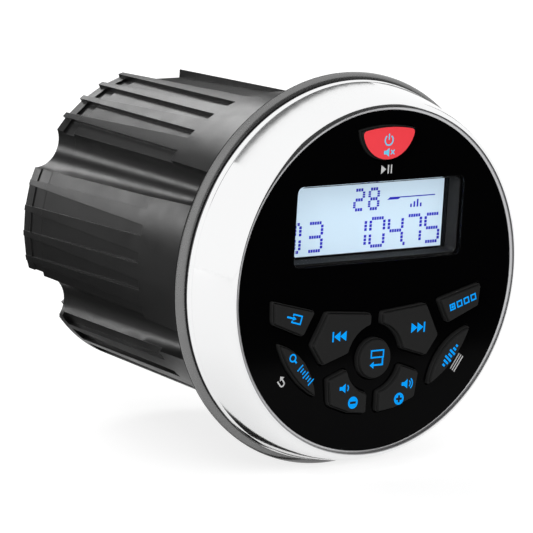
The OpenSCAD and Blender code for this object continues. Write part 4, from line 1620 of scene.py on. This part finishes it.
@dataclass
class Studs:
    """The two threaded studs behind the cover."""

    y_cover: float = COVER_Y
    y_plate: float = PLATE_Y
    x: float = 22.0
    radius: float = 2.5
    out: float = 15.0
    steps: int = 32
    foot_r: float = 4.5
    foot_h: float = 2.4
    neck_r: float = 3.4
    pitch: float = 0.8
    thread_depth: float = 0.35
    thread_crest: Plan = (0.4, 0.6)
    run_in: float = 0.4
    plain: float = 1.4
    tip: float = 0.9
    smooth: float = 25.0

    def build(self, shop: Workshop) -> None:
        """Turn both studs.

        Args:
            shop: Where the pieces are made.
        """
        whole = bmesh.new()
        for side in Side:
            join(whole, lathe(self.profile(), {}, self.steps, (side.value * self.x, 0.0)))
        shop.add(
            "clamp_stud_pair", whole, Palette.steel, "plated_steel", replaces=["clamp_studs"],
            smooth=self.smooth,
        )

    def profile(self) -> list[Plan]:
        """Give the corners of a stud's section.

        Returns:
            Radius and station of each corner.
        """
        root = self.radius - self.thread_depth
        foot = self.y_plate - self.foot_h
        corners: list[Plan] = [(0.0, foot), (self.foot_r, foot), (self.foot_r, self.y_plate)]
        corners += [(self.neck_r, self.y_plate), (self.neck_r, self.y_cover), (root, self.y_cover)]
        for index in range(int((self.out - self.plain) / self.pitch)):
            start = self.y_cover + self.run_in + index * self.pitch
            corners.append((root, start))
            corners += [(self.radius, start + self.pitch * share) for share in self.thread_crest]
        end = self.y_cover + self.out
        return [*corners, (root, end - self.tip), (self.radius - self.tip, end), (0.0, end)]


@dataclass
class Socket:
    """A round socket behind the cover, with its contact pins.

    The names are those of the shell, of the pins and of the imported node. The outer wall has a flange on
    the cover, a relief next to it and a few ribs that hold a plug's collar.
    """

    names: tuple[str, str, str]
    finish: Finish
    slot: str
    z: float
    bore_r: float
    bore_l: float
    pin_r: float
    pin_l: float
    pins: tuple[Plan, ...]
    y_cover: float = COVER_Y
    y_plate: float = PLATE_Y
    out: float = 9.0
    steps: int = 64
    foot: float = 4.0
    wall: float = 2.0
    flange: Plan = (2.0, 2.0)
    flange_round: float = 0.4
    relief: Plan = (0.35, 2.6)
    rib_count: int = 4
    rib_start: float = 2.9
    rib_pitch: float = 1.2
    rib_h: float = 0.3
    rib_stations: tuple[float, float, float] = (0.7, 0.85, 1.1)
    rim: Plan = (0.3, 0.9)
    mouth: Plan = (0.35, 0.4)
    pin_steps: int = 20
    pin_round: float = 0.4
    smooth: float = 35.0
    pin_smooth: float = 40.0

    def build(self, shop: Workshop) -> None:
        """Turn the shell and its pins.

        Args:
            shop: Where the pieces are made.
        """
        shell_name, pin_name, node = self.names
        corners = self.profile()
        flange_edge = corners.index((self.bore_r + self.wall + self.flange[0], self.y_cover + self.flange[1]))
        shell = lathe(corners, {flange_edge: self.flange_round}, self.steps, (0.0, self.z))
        shop.add(shell_name, shell, self.finish, self.slot, replaces=[node], smooth=self.smooth)
        shop.add(pin_name, self.turn_pins(), Palette.contact, "plated_steel", smooth=self.pin_smooth)

    def profile(self) -> list[Plan]:
        """Give the corners of the shell's section.

        Returns:
            Radius and station of each corner.
        """
        wall_r = self.bore_r + self.wall
        end = self.y_cover + self.out
        foot = self.y_plate - self.foot
        flange_r, flange_y = wall_r + self.flange[0], self.y_cover + self.flange[1]
        relief_r, relief_y = wall_r - self.relief[0], self.y_cover + self.relief[1]
        corners: list[Plan] = [(0.0, foot), (wall_r, foot), (wall_r, self.y_cover), (flange_r, self.y_cover)]
        corners += [(flange_r, flange_y), (relief_r, flange_y), (relief_r, relief_y)]
        top, slope, stop = self.rib_stations
        for index in range(self.rib_count):
            start = self.y_cover + self.rib_start + index * self.rib_pitch
            corners += [(wall_r, start), (wall_r, start + top)]
            corners += [(wall_r - self.rib_h, start + slope), (wall_r - self.rib_h, start + stop)]
        corners += [(wall_r, end - self.rim[1]), (wall_r - self.rim[0], end)]
        corners += [(self.bore_r + self.mouth[0], end), (self.bore_r, end - self.mouth[1])]
        return [*corners, (self.bore_r, end - self.bore_l), (0.0, end - self.bore_l)]

    def turn_pins(self) -> BMesh:
        """Turn the round contact pins that stand on the floor of the bore.

        Returns:
            The mesh.
        """
        whole = bmesh.new()
        floor = self.y_cover + self.out - self.bore_l
        shoulder = floor + self.pin_l - self.pin_r
        section: list[Plan] = [
            (0.0, floor), (self.pin_r, floor), (self.pin_r, shoulder), (0.0, floor + self.pin_l)
        ]
        rounds = {section.index((self.pin_r, shoulder)): self.pin_r * self.pin_round}
        for x, z in self.pins:
            join(whole, lathe(section, rounds, self.pin_steps, (x, self.z + z)))
        return whole


def pin_circle(count: int, radius: float) -> tuple[Plan, ...]:
    """Give the places of a middle pin and of a circle of pins round it.

    Args:
        count: How many stand on the circle.
        radius: Its radius in millimetres.

    Returns:
        Their places from the middle.
    """
    turns = [math.tau * index / count for index in range(count)]
    return (0.0, 0.0), *((radius * math.cos(turn), radius * math.sin(turn)) for turn in turns)


@dataclass
class Insides:
    """Finishes of the pieces that the body and the face close in."""

    def build(self, shop: Workshop) -> None:
        """Dress every inner node.

        Args:
            shop: Where the pieces are made.
        """
        shop.dress(Palette.rubber, "keypad_mat", "face_seal", "rear_seal")
        shop.dress(Palette.board, "key_board", "main_board", "wireless_module")
        shop.dress(Palette.steel, "key_switches", "key_board_screws", "main_board_screws", "tuner_module")
        shop.dress(Palette.moulding, "front_carrier", "board_link", "amplifier_chip")
        shop.dress(Palette.alloy, "heat_sink")
        shop.dress(Palette.can, "capacitors")
        shop.dress(Palette.wire, "power_choke")


@dataclass(frozen=True)
class PhotoCamera:
    """The camera at the photograph's viewing angle."""

    eye: Place = (-840.53, -1037.55, 256.3)
    right: Place = (0.79129, -0.60846, 0.06028)
    up: Place = (0.0685, 0.18619, 0.98012)
    focal: float = 5000.0
    image: float = 533.0
    sensor: float = 36.0
    clip: Plan = (50.0, 50000.0)

    def build(self) -> None:
        """Make the camera and take it into use."""
        data = bpy.data.cameras.new("photo_camera")
        data.sensor_width = self.sensor
        data.lens = self.sensor * self.focal / self.image
        data.clip_start, data.clip_end = (reach * MM for reach in self.clip)
        camera = bpy.data.objects.new("photo_camera", data)
        bpy.context.scene.collection.objects.link(camera)
        right = Vector(self.right).normalized()
        up = (Vector(self.up) - right * right.dot(Vector(self.up))).normalized()
        back = right.cross(up)
        turn = Matrix((right, up, back)).transposed().to_4x4()
        camera.matrix_world = Matrix.Translation(Vector(self.eye) * MM) @ turn
        bpy.context.scene.camera = camera


@dataclass
class Studio:
    """The white floor, the surroundings, the lamps and the dark cards that gloss shows."""

    floor_z: float = -54.3
    floor_half: float = 1000.0
    floor_white: float = 0.8
    floor_shade: float = 0.4
    floor_glow: float = 0.775
    floor_dim: float = 0.12
    world: float = 0.5
    world_shine: float = 1.05
    aim: Place = (0.0, 30.0, 0.0)
    bright: tuple[str, ...] = ("trim_ring", "trim_lip", "panel_ring")
    card_black: float = 0.01
    mat_lift: float = 0.5
    rear_y: float = 1150.0
    arch_at: Plan = (-274.0, 287.0)
    arch_r: float = 1350.0
    arch_w: float = 130.0
    arch_run: Plan = (10.0, 112.0)
    strip: tuple[Plan, ...] = (
        (-44, 20), (-31, 10), (-22, 4), (-13, -2), (-2, -6.5),
        (-2, -7.5), (-14, -4), (-24, 1), (-33, 6), (-44, 13),
    )

    def build(self) -> None:
        """Make the floor, the world, the lamps and the dark cards."""
        self.make_floor()
        self.make_world()
        self.lamp("front_lamp", (-500, -700, 700), (700, 700), power=3.6, shine=False)
        self.lamp("rear_left_lamp", (-660, 850, 220), (500, 150), power=2.6, leave=self.bright)
        self.lamp("rear_top_lamp", (190, 850, 670), (560, 260), power=3.9, leave=self.bright)
        self.lamp("left_lamp", (-800, -260, 260), (500, 500), power=4.0, shine=False, leave=("floor",))
        self.card("front_card", (900, -1300, 800), (2200, 1800), tilt=90)
        self.card("front_mat", (470, -720, self.floor_z + self.mat_lift), (860, 1160), tilt=0)
        self.card("rear_card", (-160, self.rear_y, 353), (2080, 814), tilt=90)
        self.card("right_card", (1170, 700, 330), (360, 260), tilt=90)
        arch = Stencil(self.arch_at).ring(0, 0, self.arch_r, self.arch_w, *self.arch_run)
        self.hang("arch_card", arch.finish(self.rear_y, lift=1.0))
        self.mat("under_strip", self.strip)
        rear = ((-15, 60), (-15, self.rear_y), (-1200, self.rear_y), (-1000, 850), (-270, 232), (-62, 60))
        self.mat("rear_mat", rear)

    @staticmethod
    def seen(tree: NodeTree) -> NodeSocket:
        """Give a factor that is 1 for what the camera sees directly, in gloss or through glass.

        Args:
            tree: The nodes that it is added to.

        Returns:
            The factor.
        """
        path = tree.nodes.new("ShaderNodeLightPath")
        first = tree.nodes.new("ShaderNodeMath")
        second = tree.nodes.new("ShaderNodeMath")
        first.operation = second.operation = "MAXIMUM"
        tree.links.new(path.outputs["Is Camera Ray"], first.inputs[0])
        tree.links.new(path.outputs["Is Glossy Ray"], first.inputs[1])
        tree.links.new(first.outputs[0], second.inputs[0])
        tree.links.new(path.outputs["Is Transmission Ray"], second.inputs[1])
        return second.outputs[0]

    def make_floor(self) -> None:
        """Make the pale floor, which keeps the object's shadow."""
        mesh = bmesh.new()
        bmesh.ops.create_grid(mesh, x_segments=1, y_segments=1, size=self.floor_half * MM)
        bmesh.ops.translate(mesh, verts=mesh.verts, vec=(0, 0, self.floor_z * MM))
        floor = to_object("floor", mesh)
        made = bpy.data.materials.new("floor_white")
        made.use_nodes = True
        tree = made.node_tree
        tree.nodes.remove(tree.nodes["Principled BSDF"])
        plain = tree.nodes.new("ShaderNodeBsdfDiffuse")
        shade = tree.nodes.new("ShaderNodeBsdfDiffuse")
        for node, grey in ((plain, self.floor_white), (shade, self.floor_shade)):
            node.inputs["Color"].default_value = (grey, grey, grey, 1.0)
        glow = tree.nodes.new("ShaderNodeEmission")
        level = tree.nodes.new("ShaderNodeMath")
        level.operation = "MULTIPLY_ADD"
        level.inputs[1].default_value = -self.floor_dim
        level.inputs[2].default_value = self.floor_glow
        tree.links.new(tree.nodes.new("ShaderNodeLightPath").outputs["Is Glossy Ray"], level.inputs[0])
        tree.links.new(level.outputs[0], glow.inputs["Strength"])
        both = tree.nodes.new("ShaderNodeAddShader")
        tree.links.new(shade.outputs[0], both.inputs[0])
        tree.links.new(glow.outputs[0], both.inputs[1])
        surface = tree.nodes["Material Output"].inputs["Surface"]
        self.choose(tree, plain.outputs[0], both.outputs[0], surface)
        floor.data.materials.append(made)

    def make_world(self) -> None:
        """Make plain white surroundings that light the object softly."""
        world = bpy.data.worlds.new("studio")
        bpy.context.scene.world = world
        world.use_nodes = True
        tree = world.node_tree
        tree.nodes.clear()
        light = tree.nodes.new("ShaderNodeBackground")
        white = tree.nodes.new("ShaderNodeBackground")
        for node, strength in ((light, self.world), (white, self.world_shine)):
            node.inputs["Color"].default_value = WHITE
            node.inputs["Strength"].default_value = strength
        surface = tree.nodes.new("ShaderNodeOutputWorld").inputs["Surface"]
        self.choose(tree, light.outputs[0], white.outputs[0], surface)

    def choose(self, tree: NodeTree, unseen: NodeSocket, seen: NodeSocket, surface: NodeSocket) -> None:
        """Show one shader to what the camera sees, and another to the light that falls on the object.

        Args:
            tree: The nodes that the mix is added to.
            unseen: The shader that lights the object.
            seen: The shader that is seen.
            surface: Where the mix goes.
        """
        mix = tree.nodes.new("ShaderNodeMixShader")
        tree.links.new(self.seen(tree), mix.inputs[0])
        tree.links.new(unseen, mix.inputs[1])
        tree.links.new(seen, mix.inputs[2])
        tree.links.new(mix.outputs[0], surface)

    def lamp(
        self, name: str, place: Place, size: Plan, power: float, shine: bool = True, leave: Sequence[str] = ()
    ) -> None:
        """Add a soft lamp that looks at the middle of the object.

        Args:
            name: Its name.
            place: Where it hangs, in millimetres.
            size: Its width and height in millimetres.
            power: Its power in watts.
            shine: Whether it shows in glossy surfaces.
            leave: Pieces that it doesn't light.
        """
        data = bpy.data.lights.new(name, "AREA")
        data.shape = "RECTANGLE"
        data.size = size[0] * MM
        data.size_y = size[1] * MM
        data.energy = power
        lamp = bpy.data.objects.new(name, data)
        lamp.location = Vector(place) * MM
        aim = Vector(self.aim) * MM - lamp.location
        lamp.rotation_euler = aim.to_track_quat("-Z", "Y").to_euler()
        lamp.visible_camera = False
        lamp.visible_glossy = shine
        bpy.context.scene.collection.objects.link(lamp)
        if leave:
            unlit = bpy.data.collections.new(name + "_leaves")
            for piece in leave:
                unlit.objects.link(bpy.data.objects[piece])
            for member in unlit.collection_objects:
                member.light_linking.link_state = "EXCLUDE"
            lamp.light_linking.receiver_collection = unlit

    def mat(self, name: str, corners: Sequence[Plan]) -> None:
        """Lay a dark mat on the floor that only glossy surfaces show.

        Args:
            name: Its name.
            corners: Its outline in millimetres.
        """
        mesh = bmesh.new()
        height = (self.floor_z + self.mat_lift) * MM
        mesh.faces.new([mesh.verts.new((x * MM, y * MM, height)) for x, y in corners])
        bmesh.ops.triangulate(mesh, faces=mesh.faces)
        self.hang(name, mesh)

    def card(self, name: str, place: Place, size: Plan, tilt: float) -> None:
        """Add a dark card near the object that only glossy surfaces show.

        Args:
            name: Its name.
            place: Its middle, in millimetres.
            size: Its width and its other side, in millimetres.
            tilt: Its turn about X in degrees, where 0 lies flat.
        """
        mesh = bmesh.new()
        bmesh.ops.create_grid(mesh, x_segments=1, y_segments=1, size=0.5 * MM)
        bmesh.ops.scale(mesh, verts=mesh.verts, vec=(size[0], size[1], 1))
        turn = Matrix.Rotation(math.radians(tilt), 3, "X")
        bmesh.ops.rotate(mesh, verts=mesh.verts, cent=(0, 0, 0), matrix=turn)
        bmesh.ops.translate(mesh, verts=mesh.verts, vec=Vector(place) * MM)
        self.hang(name, mesh)

    def hang(self, name: str, mesh: BMesh) -> None:
        """Turn a mesh into a black piece of the stage that only glossy surfaces show.

        Args:
            name: Its name.
            mesh: Its faces, which are freed.
        """
        card = to_object(name, mesh)
        made = bpy.data.materials.new(name + "_black")
        made.use_nodes = True
        dark = (self.card_black, self.card_black, self.card_black, 1.0)
        made.node_tree.nodes["Principled BSDF"].inputs["Base Color"].default_value = dark
        card.data.materials.append(made)
        for ray in ("camera", "diffuse", "transmission", "volume_scatter", "shadow"):
            setattr(card, "visible_" + ray, False)


def main() -> None:
    """Build the camera, the object and the studio in order."""
    logging.basicConfig(level=logging.INFO, format="%(name)s: %(message)s")
    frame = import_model()
    PhotoCamera().build()
    shop = Workshop(frame["nodes"])
    flutes = (30.0, 150.0, 210.0, 330.0)
    quarters = (0.0, 90.0, 180.0, 270.0)
    assemblies = (
        TrimRing(),
        Gasket(),
        Body(),
        Face(),
        Display(),
        Keys(),
        Screws("flange_screw_set", "flange_screws", circle=43.6, angles=flutes, seat=-2.6, length=10.3),
        Screws("cover_screw_set", "rear_cover_screws", circle=32.5, angles=quarters, seat=85.7, length=18.2),
        Studs(),
        Socket(
            ("harness_shell", "harness_pins", "harness_socket"), Palette.moulding, "black_moulding",
            z=-17.0, bore_r=6.5, bore_l=10.0, pin_r=0.6, pin_l=6.0, pins=pin_circle(count=8, radius=4.0),
        ),
        Socket(
            ("antenna_shell", "antenna_pin", "antenna_socket"), Palette.steel, "plated_steel",
            z=17.0, bore_r=4.0, bore_l=12.0, pin_r=0.9, pin_l=5.0, pins=((0.0, 0.0),),
        ),
        Insides(),
    )
    for assembly in assemblies:
        LOG.info("building %s", type(assembly).__name__)
        assembly.build(shop)
    Studio().build()
    bpy.context.scene.view_settings.view_transform = "Standard"


if __name__ == "__main__":
    main()
